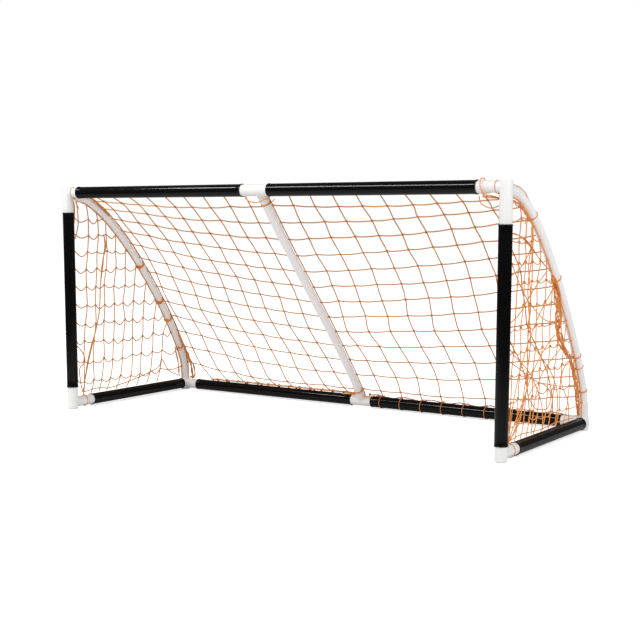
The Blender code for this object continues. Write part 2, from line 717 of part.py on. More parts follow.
def print_sleeve_limits(side_line):
    """Prints how far each sleeve can slide before it meets a fitting or a cord."""
    stop = SOCKET_RADIUS + STOP_GAP
    slope = math.radians(SIDE_STAY_TOP_SLOPE)
    under_stay = RIM_RADIUS * math.tan(slope) + STAY_SOCKET / math.cos(slope) + STOP_GAP
    lean = math.radians(90 - SIDE_STAY_FOOT_SLOPE)
    before_stay = RIM_RADIUS * math.tan(lean) + STAY_SOCKET / math.cos(lean) + STOP_GAP
    before_corner = max(before_stay, stop)
    neck_stop = NECK_TIE_PLACE + TIE_CORD / 2 + STOP_GAP
    arm_stop = ELBOW_TIE_PLACE + TIE_CORD / 2 + STOP_GAP
    half = HALF_WIDTH
    rim_stop = LACING_START - LACING_CORD / 2 - STOP_GAP - RIM_LENGTH - RIM_SLOPE
    spans = (
        ("post_sleeve_left", LEFT_POST_SLEEVE_UP, POST_SLEEVE, stop, GOAL_HEIGHT - under_stay),
        ("post_sleeve_right", RIGHT_POST_SLEEVE_UP, POST_SLEEVE, stop, GOAL_HEIGHT - under_stay),
        ("crossbar_sleeve_left", CROSSBAR_LEFT_START, CROSSBAR_SLEEVE, neck_stop, half - stop),
        ("crossbar_sleeve_right", CROSSBAR_RIGHT_START, CROSSBAR_SLEEVE, stop, half - neck_stop),
        ("rear_sleeve_left", REAR_LEFT_START, REAR_SLEEVE, stop, half - stop),
        ("rear_sleeve_right", REAR_RIGHT_START, REAR_SLEEVE, stop, rim_stop + REAR_SLEEVE),
        ("side_sleeve_left", SIDE_LEFT_START, SIDE_SLEEVE, arm_stop, GOAL_DEPTH - before_corner),
        ("side_sleeve_right", SIDE_RIGHT_START, SIDE_SLEEVE, arm_stop, GOAL_DEPTH - before_corner),
    )
    for name, start, length, lowest, highest in spans:
        back = lowest - start
        forth = highest - start - length
        print("slide of", name, "m:", round(back, 4), "to", round(forth, 4))


def build_goal():
    """Makes every piece of the goal."""
    clear_scene()
    white = plastic("white_moulding", (0.82, 0.82, 0.81), 0.35)
    grey_white = plastic("grey_white_tube", (0.66, 0.65, 0.66), 0.45)
    black = plastic("black_sleeve", (0.012, 0.012, 0.013), 0.25)
    orange = plastic("orange_cord", (0.75, 0.22, 0.05), 0.70)

    side_line = StayLine(SIDE_STAY_TOP_SLOPE, SIDE_STAY_FOOT_SLOPE, CORNER_STAY_MOUTH,
                         REAR_STAY_MOUTH, SIDE_STAY_TOP_PULL, SIDE_STAY_FOOT_PULL)
    chord_slope = math.degrees(math.atan2(GOAL_HEIGHT, GOAL_DEPTH))
    middle_line = StayLine(chord_slope + MIDDLE_STAY_TOP_STEEPER,
                           chord_slope + MIDDLE_STAY_FOOT_STEEPER,
                           TEE_STEM_MOUTH, TEE_STEM_MOUTH, MIDDLE_STAY_PULL, MIDDLE_STAY_PULL)
    side_rows = net_rows(side_line, NET_BESIDE_STAY, NET_BY_RIM, NET_BY_LACING)
    middle_rows = net_rows(middle_line, NET_OVER_STAY, NET_BY_RIM, NET_BY_LACING)

    for side in SIDE_NAMES:
        make_top_corner(side, side_line, white)
        make_front_elbow(side, white)
        make_rear_corner(side, side_line, white)
    make_tee("crossbar_tee", middle_line.top_way, (0, FRONT_Y, BAR_Z), white)
    make_tee("rear_tee", middle_line.foot_way, (0, REAR_Y, LOW_Z), white)
    make_straight_tubes(white)
    make_stays(side_line, middle_line, side_rows, middle_rows, grey_white)
    make_sleeves(black)
    make_net(side_line, middle_line, side_rows, middle_rows, orange)
    make_ties(side_line, middle_line, side_rows, orange)
    make_lacing(orange)
    print_sleeve_limits(side_line)


build_goal()
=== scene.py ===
"""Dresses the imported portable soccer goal: mouldings, sleeves, stays and a knotted cord net."""

import bisect
import math
import random

import bmesh
import bpy
import numpy as np
from mathutils import Matrix, Vector


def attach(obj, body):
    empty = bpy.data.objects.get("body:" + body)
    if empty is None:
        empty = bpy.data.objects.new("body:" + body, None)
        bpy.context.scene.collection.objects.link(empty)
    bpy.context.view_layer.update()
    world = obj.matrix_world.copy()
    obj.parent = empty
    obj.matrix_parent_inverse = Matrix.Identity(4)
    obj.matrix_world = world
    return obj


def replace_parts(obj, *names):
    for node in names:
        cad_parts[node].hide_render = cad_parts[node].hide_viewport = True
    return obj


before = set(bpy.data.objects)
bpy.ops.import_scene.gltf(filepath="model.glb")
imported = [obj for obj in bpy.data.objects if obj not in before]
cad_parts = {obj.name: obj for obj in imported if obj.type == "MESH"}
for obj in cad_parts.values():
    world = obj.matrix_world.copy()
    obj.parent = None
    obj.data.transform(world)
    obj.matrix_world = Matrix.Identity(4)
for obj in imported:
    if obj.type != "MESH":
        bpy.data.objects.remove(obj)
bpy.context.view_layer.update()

# Axes of the goal's tubes, as its solids have them, in metres.
HALF_WIDTH = 1.22
FRONT_Y = -0.451211
REAR_Y = 0.448789
LOW_Z = 0.035
BAR_Z = 1.115

# Radii of the fittings' sockets and bores, of the stays, and of the sleeves and their rims.
SOCKET_RADIUS = 0.0267
BAR_BORE = 0.0243
NECK_RADIUS = 0.024
STAY_RADIUS = 0.020
STAY_SOCKET = 0.0227
STAY_BORE = 0.0203
SLEEVE_RADIUS = 0.0287
SLEEVE_BORE = 0.0272
RIM_RADIUS = 0.03045

# Slopes of the stays at their ends in degrees, the straight stretch there, and the curve's pull.
SIDE_STAY = ((14.7, 85.0), (0.100, 0.100), (0.291, 0.177))
CHORD_SLOPE = math.degrees(math.atan2(BAR_Z - LOW_Z, REAR_Y - FRONT_Y))
MIDDLE_STAY = ((CHORD_SLOPE + 1.8, CHORD_SLOPE + 3.8), (0.068, 0.068), (0.40, 0.40))
CURVE_STEPS = 240

# Fittings: depth of their sockets, rounding of edges and creases, and how their surface is found:
# cell and least box of the grid, and how its points settle on the surface.
SOCKET_DEPTH = 0.050
MOUTH_EDGE = 0.0010
BORE_EDGE = 0.0004
CREASE_ROUND = 0.0035
FIELD_CELL = 0.0015
FIELD_LOW = (-0.03, -0.03, -0.04)
FIELD_HIGH = (0.03, 0.03, 0.03)
LEAST_SLOPE = 0.2
SLOPE_STEP = 0.0001
SETTLING_ROUNDS = 6
JOINED_WITHIN = 0.00002
FACES_KEPT = 0.30

# Sleeves: where each starts at rest, which way it lies, and how long it is.
SLEEVE_SPANS = {
    "post_sleeve_left": ((-HALF_WIDTH, FRONT_Y, LOW_Z + 0.0795), (0, 0, 1), 0.900),
    "post_sleeve_right": ((HALF_WIDTH, FRONT_Y, LOW_Z + 0.031), (0, 0, 1), 0.900),
    "crossbar_sleeve_left": ((0.079 - HALF_WIDTH, FRONT_Y, BAR_Z), (1, 0, 0), 1.043),
    "crossbar_sleeve_right": ((0.051, FRONT_Y, BAR_Z), (1, 0, 0), 1.043),
    "rear_sleeve_left": ((0.101 - HALF_WIDTH, REAR_Y, LOW_Z), (1, 0, 0), 1.055),
    "rear_sleeve_right": ((0.059, REAR_Y, LOW_Z), (1, 0, 0), 1.055),
    "side_sleeve_left": ((-HALF_WIDTH, FRONT_Y + 0.132, LOW_Z), (0, 1, 0), 0.735),
    "side_sleeve_right": ((HALF_WIDTH, FRONT_Y + 0.127, LOW_Z), (0, 1, 0), 0.735),
}
SLEEVE_SIDES = 56
SLEEVE_RINGS = 24
STAY_SIDES = 40
STAY_RINGS = 90
STAY_SEAT = 0.055

# Net: how it lies on the stays, its meshes, and its cords.
NET_OVER_MIDDLE = 0.0248
NET_BESIDE_STAY = 0.0170
NET_EDGE_X = HALF_WIDTH - NET_BESIDE_STAY
NET_TOP = 0.012
NET_FOOT = 0.988
NET_ROWS = range(1, 14)
NET_COLUMNS = range(-9, 10)
ROW_STEP = 0.0735
RIGHT_COLUMN_STEP = 0.1175
LEFT_COLUMN_STEP = 0.1255
NET_SMOOTHING = 4
CORD = 0.0058
RIGHT_SIDE_CORD = 0.0047
LOOSE_CORD = 0.0046
CORD_SIDES = 7
KNOT_SIZE = 0.0046

# Side nets: columns, heights of the rows, and the lines just off the post and the side bar.
SIDE_COLUMNS = range(9)
SIDE_HEIGHTS = [0.135 + 0.105 * row - 0.0012 * row * row for row in range(10)]
SIDE_FRONT = FRONT_Y + RIM_RADIUS + CORD / 2
SIDE_FLOOR = LOW_Z + RIM_RADIUS + CORD / 2
SIDE_SMOOTHING = 5
SAG_STEPS = 7

# Lacing on the right half of the rear bar: its turns, and where the first and last lie.
LACING_CORD = 0.0030
LACING_TURNS = 8
LACING_STEPS = 24
LACING_FIRST_X = 0.0818
LACING_LAST_X = 1.0442
LACING_FRONT_X = 0.116

# Ties: the cord of the solids' loops, and the steps in one turn.
CAD_TIE_CORD = 0.0026
TIE_STEPS = 20

# Camera: where the photographer stood, and the lens.
CAMERA_PLACE = (3.2643, -4.8362, 0.9906)
CAMERA_YAW = 0.58891
CAMERA_PITCH = 0.12612
CAMERA_ROLL = 0.00158
SENSOR_WIDTH = 36.0
FOCAL_PIXELS = 1189.94
CENTRE_PIXEL = (321.0, 368.7)
FRAME_PIXELS = 640

# Studio: the floor's size, its shade and its lift to the eye, its shade in a gloss by distance
# (near, far, and the shade at each), and how light the room is to matt surfaces and in a gloss.
FLOOR_SIZE = 60.0
FLOOR_SHADE = 0.80
FLOOR_LIFT = 0.62
FLOOR_IN_GLOSS = (1.2, 4.5, 0.60, 0.08)
ROOM_LIGHT = 0.66
ROOM_IN_GLOSS = 0.12

# Finishes: what a long piece's points carry, as its length and its turn around it, and how fast
# the strands of a cord wind, in radians to a metre.
ALONG_AND_AROUND = ("cord_along", "cord_cos", "cord_sin")
STRAND_TURN = 900.0

X_AXIS = Vector((1, 0, 0))
Z_AXIS = Vector((0, 0, 1))


# Helpers for node trees

def feed(tree, node, inputs):
    """Sets the inputs of a node, or joins those whose value is another node's output."""
    for key, value in inputs.items():
        if hasattr(value, "is_output"):
            tree.links.new(value, node.inputs[key])
        else:
            node.inputs[key].default_value = value


def wire(tree):
    """A helper that adds a node to a tree, and sets or joins its inputs."""
    def add(kind, inputs=None, **values):
        node = tree.nodes.new(kind)
        for key, value in values.items():
            setattr(node, key, value)
        feed(tree, node, inputs or {})
        return node

    return add


def emptied(owner):
    """The helper for the tree of a material or a world, with nothing in it yet."""
    owner.use_nodes = True
    owner.node_tree.nodes.clear()
    return wire(owner.node_tree)


def maths(add, operation, *values):
    """The outcome of one step of arithmetic."""
    return add("ShaderNodeMath", dict(enumerate(values)), operation=operation).outputs[0]


def chosen(add, factor, first, second):
    """The first number, or the second where the factor is one."""
    return add("ShaderNodeMix", {0: factor, 2: first, 3: second}, data_type="FLOAT").outputs[0]


def tinted(add, factor, first, second):
    """A colour between two, by a factor."""
    node = add("ShaderNodeMix", {"Factor": factor, 6: (*first, 1.0), 7: (*second, 1.0)},
               data_type="RGBA")
    return node.outputs[2]


def ranged(add, value, low, high, out_low, out_high):
    """A value moved from one range to another, held at its ends."""
    node = add("ShaderNodeMapRange", {"Value": value, "From Min": low, "From Max": high,
                                      "To Min": out_low, "To Max": out_high})
    return node.outputs["Result"]


def noise(add, place, scale, detail, roughness=0.5):
    """Even noise at a scale, read at a place."""
    node = add("ShaderNodeTexNoise", {"Vector": place, "Scale": scale, "Detail": detail,
                                      "Roughness": roughness})
    return node.outputs["Fac"]


def bumped(add, strength, distance, height):
    """A surface raised by a height."""
    node = add("ShaderNodeBump", {"Strength": strength, "Distance": distance, "Height": height})
    return node.outputs[0]


# Helpers for objects and meshes

def placed(name, data):
    """A new object of the scene, at the origin."""
    piece = bpy.data.objects.new(name, data)
    bpy.context.scene.collection.objects.link(piece)
    return piece


def made_plain(holder, keep_all=False):
    """The mesh of an object as its modifiers leave it; the object is removed."""
    graph = bpy.context.evaluated_depsgraph_get()
    plain = bpy.data.meshes.new_from_object(holder.evaluated_get(graph),
                                            preserve_all_data_layers=keep_all, depsgraph=graph)
    bpy.data.objects.remove(holder)
    return plain


def join_rings(bm, rings):
    """Smooth faces from each ring of points to the next, and from the last to the first."""
    for near, far in zip(rings, rings[1:] + rings[:1]):
        for side in range(len(near)):
            after = (side + 1) % len(near)
            bm.faces.new((near[side], near[after], far[after], far[side])).smooth = True


def mesh_of(bm, name):
    """The mesh of what was built, with its faces turned outwards."""
    bmesh.ops.recalc_face_normals(bm, faces=bm.faces)
    mesh = bpy.data.meshes.new(name)
    bm.to_mesh(mesh)
    bm.free()
    return mesh


# Camera and studio

def add_camera():
    """The camera at the photograph's angle."""
    data = bpy.data.cameras.new("photo_camera")
    data.sensor_width = SENSOR_WIDTH
    data.lens = FOCAL_PIXELS * SENSOR_WIDTH / FRAME_PIXELS
    data.shift_x = (FRAME_PIXELS / 2 - CENTRE_PIXEL[0]) / FRAME_PIXELS
    data.shift_y = (CENTRE_PIXEL[1] - FRAME_PIXELS / 2) / FRAME_PIXELS
    data.clip_end = 200.0
    camera = placed("photo_camera", data)
    forward = Vector((-math.sin(CAMERA_YAW) * math.cos(CAMERA_PITCH),
                      math.cos(CAMERA_YAW) * math.cos(CAMERA_PITCH),
                      -math.sin(CAMERA_PITCH)))
    right = Vector((math.cos(CAMERA_YAW), math.sin(CAMERA_YAW), 0.0))
    up = right.cross(forward)
    turned_right = right * math.cos(CAMERA_ROLL) + up * math.sin(CAMERA_ROLL)
    turned_up = up * math.cos(CAMERA_ROLL) - right * math.sin(CAMERA_ROLL)
    axes = Matrix((turned_right, turned_up, -forward)).transposed().to_4x4()
    camera.matrix_world = Matrix.Translation(CAMERA_PLACE) @ axes
    bpy.context.scene.camera = camera


def add_floor():
    """A pale floor that reads as white and still takes the goal's shadow."""
    bpy.ops.mesh.primitive_plane_add(size=FLOOR_SIZE, location=(0.0, 0.0, 0.0))
    floor = bpy.context.object
    floor.name = "studio_floor"
    material = bpy.data.materials.new("studio_floor")
    add = emptied(material)
    path = add("ShaderNodeLightPath").outputs
    place = add("ShaderNodeTexCoord").outputs["Object"]
    reach = add("ShaderNodeVectorMath", {0: place}, operation="LENGTH").outputs["Value"]
    shade = chosen(add, path["Is Glossy Ray"], FLOOR_SHADE, ranged(add, reach, *FLOOR_IN_GLOSS))
    matt = add("ShaderNodeBsdfDiffuse", {"Color": shade})
    glow = add("ShaderNodeEmission",
               {"Strength": maths(add, "MULTIPLY", path["Is Camera Ray"], FLOOR_LIFT)})
    both = add("ShaderNodeAddShader", {0: matt.outputs[0], 1: glow.outputs[0]})
    add("ShaderNodeOutputMaterial", {"Surface": both.outputs[0]})
    floor.data.materials.append(material)


def add_world():
    """White to the eye, a soft plain light to everything else, and dim in a gloss."""
    world = bpy.data.worlds.new("studio_world")
    bpy.context.scene.world = world
    add = emptied(world)
    path = add("ShaderNodeLightPath").outputs
    dim = chosen(add, path["Is Glossy Ray"], ROOM_LIGHT, ROOM_IN_GLOSS)
    level = chosen(add, path["Is Camera Ray"], dim, 1.0)
    room = add("ShaderNodeBackground", {"Color": (1.0, 1.0, 1.0, 1.0), "Strength": level})
    add("ShaderNodeOutputWorld", {"Surface": room.outputs[0]})


def add_lamp(name, place, aim, size, power):
    """One soft rectangular lamp that faces a point of the goal."""
    data = bpy.data.lights.new(name, "AREA")
    data.shape = "RECTANGLE"
    data.size, data.size_y = size
    data.energy = power
    lamp = placed(name, data)
    way = Vector(aim) - Vector(place)
    lamp.matrix_world = Matrix.Translation(place) @ way.to_track_quat("-Z", "Y").to_matrix().to_4x4()


def add_lights():
    """A long narrow lamp above the front left, and a wide one from the side."""
    add_lamp("key_lamp", (-2.3, -3.3, 4.2), (0.0, 0.0, 0.5), (3.4, 0.5), 150.0)
    add_lamp("side_lamp", (4.2, -1.6, 2.6), (0.0, 0.0, 0.5), (2.4, 2.4), 60.0)


# Finishes

def new_finish(name):
    """An empty finish: its material, and the helper that adds nodes to it."""
    material = bpy.data.materials.new(name)
    material.use_nodes = True
    return material, wire(material.node_tree)


def finished(material, inputs):
    """The finish, with the inputs of its shader set or joined."""
    feed(material.node_tree, material.node_tree.nodes["Principled BSDF"], inputs)
    return material


def cord_attributes(add):
    """How far along its piece a point lies, and the cosine and sine of its turn around it."""
    return [add("ShaderNodeAttribute", attribute_name=label).outputs["Fac"]
            for label in ALONG_AND_AROUND]


def moulded_finish(name, colour, shade, roughness):
    """Moulded plastic: slight colour drift, fine grain, a few dull rub marks."""
    material, add = new_finish(name)
    place = add("ShaderNodeTexCoord").outputs["Object"]
    drift = noise(add, place, 7.0, 4.0)
    rubbed = noise(add, place, 60.0, 6.0, 0.7)
    grain = noise(add, place, 900.0, 3.0)
    return finished(material, {
        "Base Color": tinted(add, drift, colour, shade),
        "Roughness": ranged(add, rubbed, 0.4, 0.75, roughness, roughness + 0.15),
        "Normal": bumped(add, 0.12, 0.0004, grain)})


def drawn_finish(name, colour, shade, roughness, streak, specular):
    """Drawn plastic tube: long streaks and rub marks along the piece, by its own attributes."""
    material, add = new_finish(name)
    place = add("ShaderNodeCombineXYZ", dict(enumerate(cord_attributes(add)))).outputs[0]
    streaks = add("ShaderNodeMapping", {"Vector": place, "Scale": (1.6, 9.0, 9.0)}).outputs[0]
    lines = noise(add, streaks, 1.0, 2.5, 0.5)
    patches = add("ShaderNodeMapping", {"Vector": place, "Scale": (26.0, 1.1, 1.1)}).outputs[0]
    rubbed = noise(add, patches, 1.0, 5.0, 0.7)
    return finished(material, {
        "Base Color": tinted(add, lines, colour, shade),
        "Roughness": ranged(add, rubbed, 0.45, 0.72, roughness, roughness + 0.10),
        "Normal": bumped(add, streak, 0.0002, lines),
        "Specular IOR Level": specular})


def cord_finish(name, colour, shade):
    """Twisted cord: strands that wind along the piece's own cord attributes, and stray fibres; the
    grooves between the strands take the darker colour as painted shade.
    """
    material, add = new_finish(name)
    along, cosine, sine = cord_attributes(add)
    turn = maths(add, "MULTIPLY", along, STRAND_TURN)
    double_cos = maths(add, "MULTIPLY_ADD", maths(add, "MULTIPLY", cosine, cosine), 2.0, -1.0)
    double_sin = maths(add, "MULTIPLY", maths(add, "MULTIPLY", cosine, sine), 2.0)
    first = maths(add, "MULTIPLY", double_cos, maths(add, "COSINE", turn))
    strands = maths(add, "MULTIPLY_ADD", double_sin, maths(add, "SINE", turn), first)
    place = add("ShaderNodeTexCoord").outputs["Object"]
    # Painted shade: the factor falls in the grooves between the strands, so they turn to the darker
    # colour; the noise adds random tone on top.
    depth = ranged(add, strands, -1.0, 1.0, 0.0, 0.55)
    drift = maths(add, "MULTIPLY_ADD", noise(add, place, 14.0, 3.0), 0.6, depth)
    height = maths(add, "MULTIPLY_ADD", noise(add, place, 1400.0, 4.0, 0.7), 0.4, strands)
    return finished(material, {
        "Base Color": tinted(add, drift, shade, colour),
        "Roughness": 0.62,
        "Sheen Weight": 0.25,
        "Normal": bumped(add, 0.5, 0.0006, height)})


# Lines that the stays and the net follow

def sloped(degrees):
    """A direction towards the back of the goal that falls by an angle."""
    angle = math.radians(degrees)
    return (0.0, math.cos(angle), -math.sin(angle))


class StayCurve:
    """The centre line of a stay, by the share of its length from the crossbar to the rear bar."""

    def __init__(self, slopes, mouths, pulls):
        top_way, foot_way = Vector(sloped(slopes[0])), -Vector(sloped(slopes[1]))
        top, foot = Vector((0, FRONT_Y, BAR_Z)), Vector((0, REAR_Y, LOW_Z))
        first, last = top + top_way * mouths[0], foot + foot_way * mouths[1]
        near, far = first + top_way * pulls[0], last + foot_way * pulls[1]
        self.points = [top]
        for step in range(CURVE_STEPS + 1):
            t = step / CURVE_STEPS
            u = 1 - t
            self.points.append(first * u ** 3 + near * 3 * u * u * t + far * 3 * u * t * t
                               + last * t ** 3)
        self.points.append(foot)
        self.reach = [0.0]
        for before, after in zip(self.points, self.points[1:]):
            self.reach.append(self.reach[-1] + (after - before).length)
        self.length = self.reach[-1]

    def at(self, share):
        """The point at a share of the length, and the outward normal there."""
        distance = min(max(share, 0.0), 1.0) * self.length
        index = min(max(bisect.bisect_left(self.reach, distance), 1), len(self.points) - 1)
        before, after = self.points[index - 1], self.points[index]
        part = (distance - self.reach[index - 1]) / (self.reach[index] - self.reach[index - 1])
        return before.lerp(after, part), X_AXIS.cross((after - before).normalized())


SIDE_CURVE = StayCurve(*SIDE_STAY)
MIDDLE_CURVE = StayCurve(*MIDDLE_STAY)


def back_point(x, share):
    """A point of the back net: across by x, and down from the crossbar by a share."""
    middle, middle_normal = MIDDLE_CURVE.at(share)
    side, side_normal = SIDE_CURVE.at(share)
    middle = middle + middle_normal * NET_OVER_MIDDLE
    side = side + side_normal * NET_BESIDE_STAY
    point = middle.lerp(side, min(abs(x) / NET_EDGE_X, 1.0))
    point.x = x
    return point


def back_facing(x, share):
    """Which way the back net faces there."""
    normal = MIDDLE_CURVE.at(share)[1].lerp(SIDE_CURVE.at(share)[1], min(abs(x) / NET_EDGE_X, 1.0))
    return normal.normalized()


def wavy(line, rng, reach):
    """Moves the points of a line a little, except its ends."""
    for point in line[1:-1]:
        point += Vector([rng.uniform(-reach, reach) for _ in range(3)])
    return line


def smoothed(points, steps):
    """A smooth line through the points, with some steps between each two."""
    line = []
    last = len(points) - 1
    for index in range(last):
        a = points[max(index - 1, 0)]
        b = points[index]
        c = points[index + 1]
        d = points[min(index + 2, last)]
        for step in range(steps):
            t = step / steps
            line.append(0.5 * (b * 2 + (c - a) * t + (a * 2 - b * 5 + c * 4 - d) * t * t
                               + (b * 3 - a - c * 3 + d) * t ** 3))
    line.append(points[last].copy())
    return line


def metres(values):
    """Millimetres as metres."""
    return [value / 1000 for value in values]


# Cord: Geometry Nodes give lines their thickness and set the knots

class CordLines:
    """Lines that become cord, with the places of their knots."""

    def __init__(self):
        self.points = []
        self.edges = []
        self.knots = []
        self.facing = []
        self.thick = []

    def add(self, points, knots=(), facing=Z_AXIS, thick=1.0):
        """Adds one line; knots are the indices of the points that hold one."""
        start = len(self.points)
        knots = set(knots)
        for index, point in enumerate(points):
            self.points.append(tuple(point))
            self.knots.append(1.0 if index in knots else 0.0)
            self.facing.append(tuple(facing[index] if isinstance(facing, list) else facing))
            self.thick.append(thick)
            if index:
                self.edges.append((start + index - 1, start + index))


def knot_shape():
    """A small knot: two rings of cord drawn round a crossing, one cord thick."""
    steps, sides, thick = 6, 5, 0.46
    bm = bmesh.new()
    for angle, reach, lift in ((math.pi / 4, 0.95, 0.10), (-math.pi / 4, 0.80, -0.12)):
        across = Vector((-math.sin(angle), math.cos(angle), 0.0))
        rings = []
        for step in range(steps):
            turn = 2 * math.pi * step / steps
            spoke = Vector((math.cos(angle) * math.cos(turn), math.sin(angle) * math.cos(turn),
                            math.sin(turn)))
            ring = []
            for side in range(sides):
                tilt = 2 * math.pi * side / sides
                ring.append(bm.verts.new(spoke * (reach + thick * math.cos(tilt))
                                         + across * (thick * math.sin(tilt) + lift)))
            rings.append(ring)
        join_rings(bm, rings)
    return placed("knot_shape", mesh_of(bm, "knot_shape"))


CORD_INPUTS = (
    ("Cord thickness", "NodeSocketFloat", CORD),
    ("Cord sides", "NodeSocketInt", CORD_SIDES),
    ("Knot shape", "NodeSocketObject", None),
    ("Knot size", "NodeSocketFloat", KNOT_SIZE),
    ("Knot seed", "NodeSocketInt", 7),
    ("Finish", "NodeSocketMaterial", None),
)


def cord_tree():
    """The tree that gives lines a round cord and sets a knot at each marked point."""
    tree = bpy.data.node_groups.new("knotted_cord", "GeometryNodeTree")
    tree.interface.new_socket("Geometry", in_out="INPUT", socket_type="NodeSocketGeometry")
    for label, kind, value in CORD_INPUTS:
        socket = tree.interface.new_socket(label, in_out="INPUT", socket_type=kind)
        if value is not None:
            socket.default_value = value
    tree.interface.new_socket("Geometry", in_out="OUTPUT", socket_type="NodeSocketGeometry")
    add = wire(tree)
    given = add("NodeGroupInput").outputs

    def stored(geometry, label, value):
        """The geometry with a number kept on its points."""
        return add("GeometryNodeStoreNamedAttribute",
                   {"Geometry": geometry, "Name": label, "Value": value},
                   data_type="FLOAT", domain="POINT").outputs[0]

    def marked(label, kind="FLOAT"):
        """What the lines' points carry under a name."""
        return add("GeometryNodeInputNamedAttribute", {"Name": label}, data_type=kind).outputs[0]

    def drawn(low, high):
        """A random number for each knot."""
        return add("FunctionNodeRandomValue", {2: low, 3: high, "Seed": given["Knot seed"]},
                   data_type="FLOAT").outputs[1]

    curve = add("GeometryNodeMeshToCurve", {"Mesh": given["Geometry"]}).outputs[0]
    curve = add("GeometryNodeSetCurveRadius", {"Curve": curve, "Radius": marked("thick")}).outputs[0]
    curve = stored(curve, "cord_along", add("GeometryNodeSplineParameter").outputs["Length"])
    half = maths(add, "MULTIPLY", given["Cord thickness"], 0.5)
    ring = add("GeometryNodeCurvePrimitiveCircle",
               {"Resolution": given["Cord sides"], "Radius": half}).outputs[0]
    factor = add("GeometryNodeSplineParameter").outputs["Factor"]
    angle = maths(add, "MULTIPLY", factor, 2 * math.pi)
    for label, operation in (("cord_cos", "COSINE"), ("cord_sin", "SINE")):
        ring = stored(ring, label, maths(add, operation, angle))
    cord = add("GeometryNodeCurveToMesh",
               {"Curve": curve, "Profile Curve": ring, "Fill Caps": True}).outputs[0]
    is_knot = add("FunctionNodeCompare", {0: marked("knot"), 1: 0.5}, operation="GREATER_THAN")
    stand = add("FunctionNodeAlignRotationToVector", {"Vector": marked("facing", "FLOAT_VECTOR")},
                axis="Z")
    twist = add("FunctionNodeAxisAngleToRotation", {"Axis": (0, 0, 1), "Angle": drawn(-0.5, 0.5)})
    stand = add("FunctionNodeRotateRotation",
                {"Rotation": stand.outputs[0], "Rotate By": twist.outputs[0]},
                rotation_space="LOCAL")
    size = maths(add, "MULTIPLY", drawn(0.85, 1.2), given["Knot size"])
    shape = add("GeometryNodeObjectInfo", {"Object": given["Knot shape"]})
    knots = add("GeometryNodeInstanceOnPoints",
                {"Points": given["Geometry"], "Selection": is_knot.outputs[0],
                 "Instance": shape.outputs["Geometry"], "Rotation": stand.outputs[0],
                 "Scale": size}).outputs[0]
    both = add("GeometryNodeJoinGeometry")
    tree.links.new(cord, both.inputs[0])
    tree.links.new(knots, both.inputs[0])
    whole = add("GeometryNodeRealizeInstances", {"Geometry": both.outputs[0]}).outputs[0]
    whole = add("GeometryNodeSetShadeSmooth", {"Geometry": whole}).outputs[0]
    whole = add("GeometryNodeSetMaterial",
                {"Geometry": whole, "Material": given["Finish"]}).outputs[0]
    add("NodeGroupOutput", {0: whole})
    return tree


def dressed(name, mesh, material, body):
    """A finished piece of the scene, riding on a body."""
    mesh.materials.clear()
    mesh.materials.append(material)
    piece = placed(name, mesh)
    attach(piece, body)
    return piece


def corded(name, lines, kit, thickness=CORD, knot_size=KNOT_SIZE, sides=CORD_SIDES, seed=7,
           finish="cord"):
    """Turns lines into one plain mesh of cord and knots."""
    mesh = bpy.data.meshes.new(name + "_lines")
    mesh.from_pydata(lines.points, lines.edges, [])
    for label, values in (("knot", lines.knots), ("thick", lines.thick)):
        mesh.attributes.new(label, "FLOAT", "POINT").data.foreach_set("value", values)
    flat = [value for facing in lines.facing for value in facing]
    mesh.attributes.new("facing", "FLOAT_VECTOR", "POINT").data.foreach_set("vector", flat)
    holder = placed(name + "_lines", mesh)
    modifier = holder.modifiers.new("cord", "NODES")
    modifier.node_group = kit["tree"]
    values = {"Cord thickness": thickness, "Cord sides": sides, "Knot shape": kit["knot"],
              "Knot size": knot_size, "Knot seed": seed, "Finish": kit[finish]}
    for item in kit["tree"].interface.items_tree:
        if item.in_out == "INPUT" and item.name in values:
            modifier[item.identifier] = values[item.name]
    plain = made_plain(holder, keep_all=True)
    plain.name = name
    for label in ("knot", "thick", "facing"):
        if label in plain.attributes:
            plain.attributes.remove(plain.attributes[label])
    return dressed(name, plain, kit[finish], "root")


# Fittings: rounded forms blended into each other, bored, and given a fine surface

def cylinder(points, way, low, high, radius, edge):
    """Signed distance to a cylinder through the origin, with its end edges rounded."""
    way = np.array(way)
    along = points @ way
    out = np.linalg.norm(points - np.outer(along, way), axis=1) - (radius - edge)
    past = np.abs(along - (low + high) / 2) - ((high - low) / 2 - edge)
    outside = np.hypot(np.maximum(out, 0.0), np.maximum(past, 0.0))
    return outside + np.minimum(np.maximum(out, past), 0.0) - edge


def fitting_field(points, parts, bores):
    """Signed distance to a fitting: its arms with soft creases between them, less its bores."""
    arms = {}
    for part in parts:
        distance = cylinder(points, *part)
        arms[part[0]] = np.minimum(arms.get(part[0], distance), distance)
    whole, *others = arms.values()
    for arm in others:
        near = np.maximum(CREASE_ROUND - np.abs(whole - arm), 0.0) / CREASE_ROUND
        whole = np.minimum(whole, arm) - near * near * CREASE_ROUND / 4
    for way, mouth, radius in bores:
        hole = cylinder(points, way, mouth - SOCKET_DEPTH, mouth + SOCKET_DEPTH, radius, BORE_EDGE)
        whole = np.maximum(whole, -hole)
    return whole


def surface_cells(inside):
    """The cells of a grid that the surface passes through, as a numbered block."""
    corners = np.zeros([size - 1 for size in inside.shape], dtype=int)
    ends = (slice(None, -1), slice(1, None))
    for across in ends:
        for back in ends:
            for up in ends:
                corners += inside[across, back, up]
    mixed = (corners > 0) & (corners < 8)
    number = np.full(mixed.shape, -1)
    number[mixed] = np.arange(mixed.sum())
    return np.argwhere(mixed), number


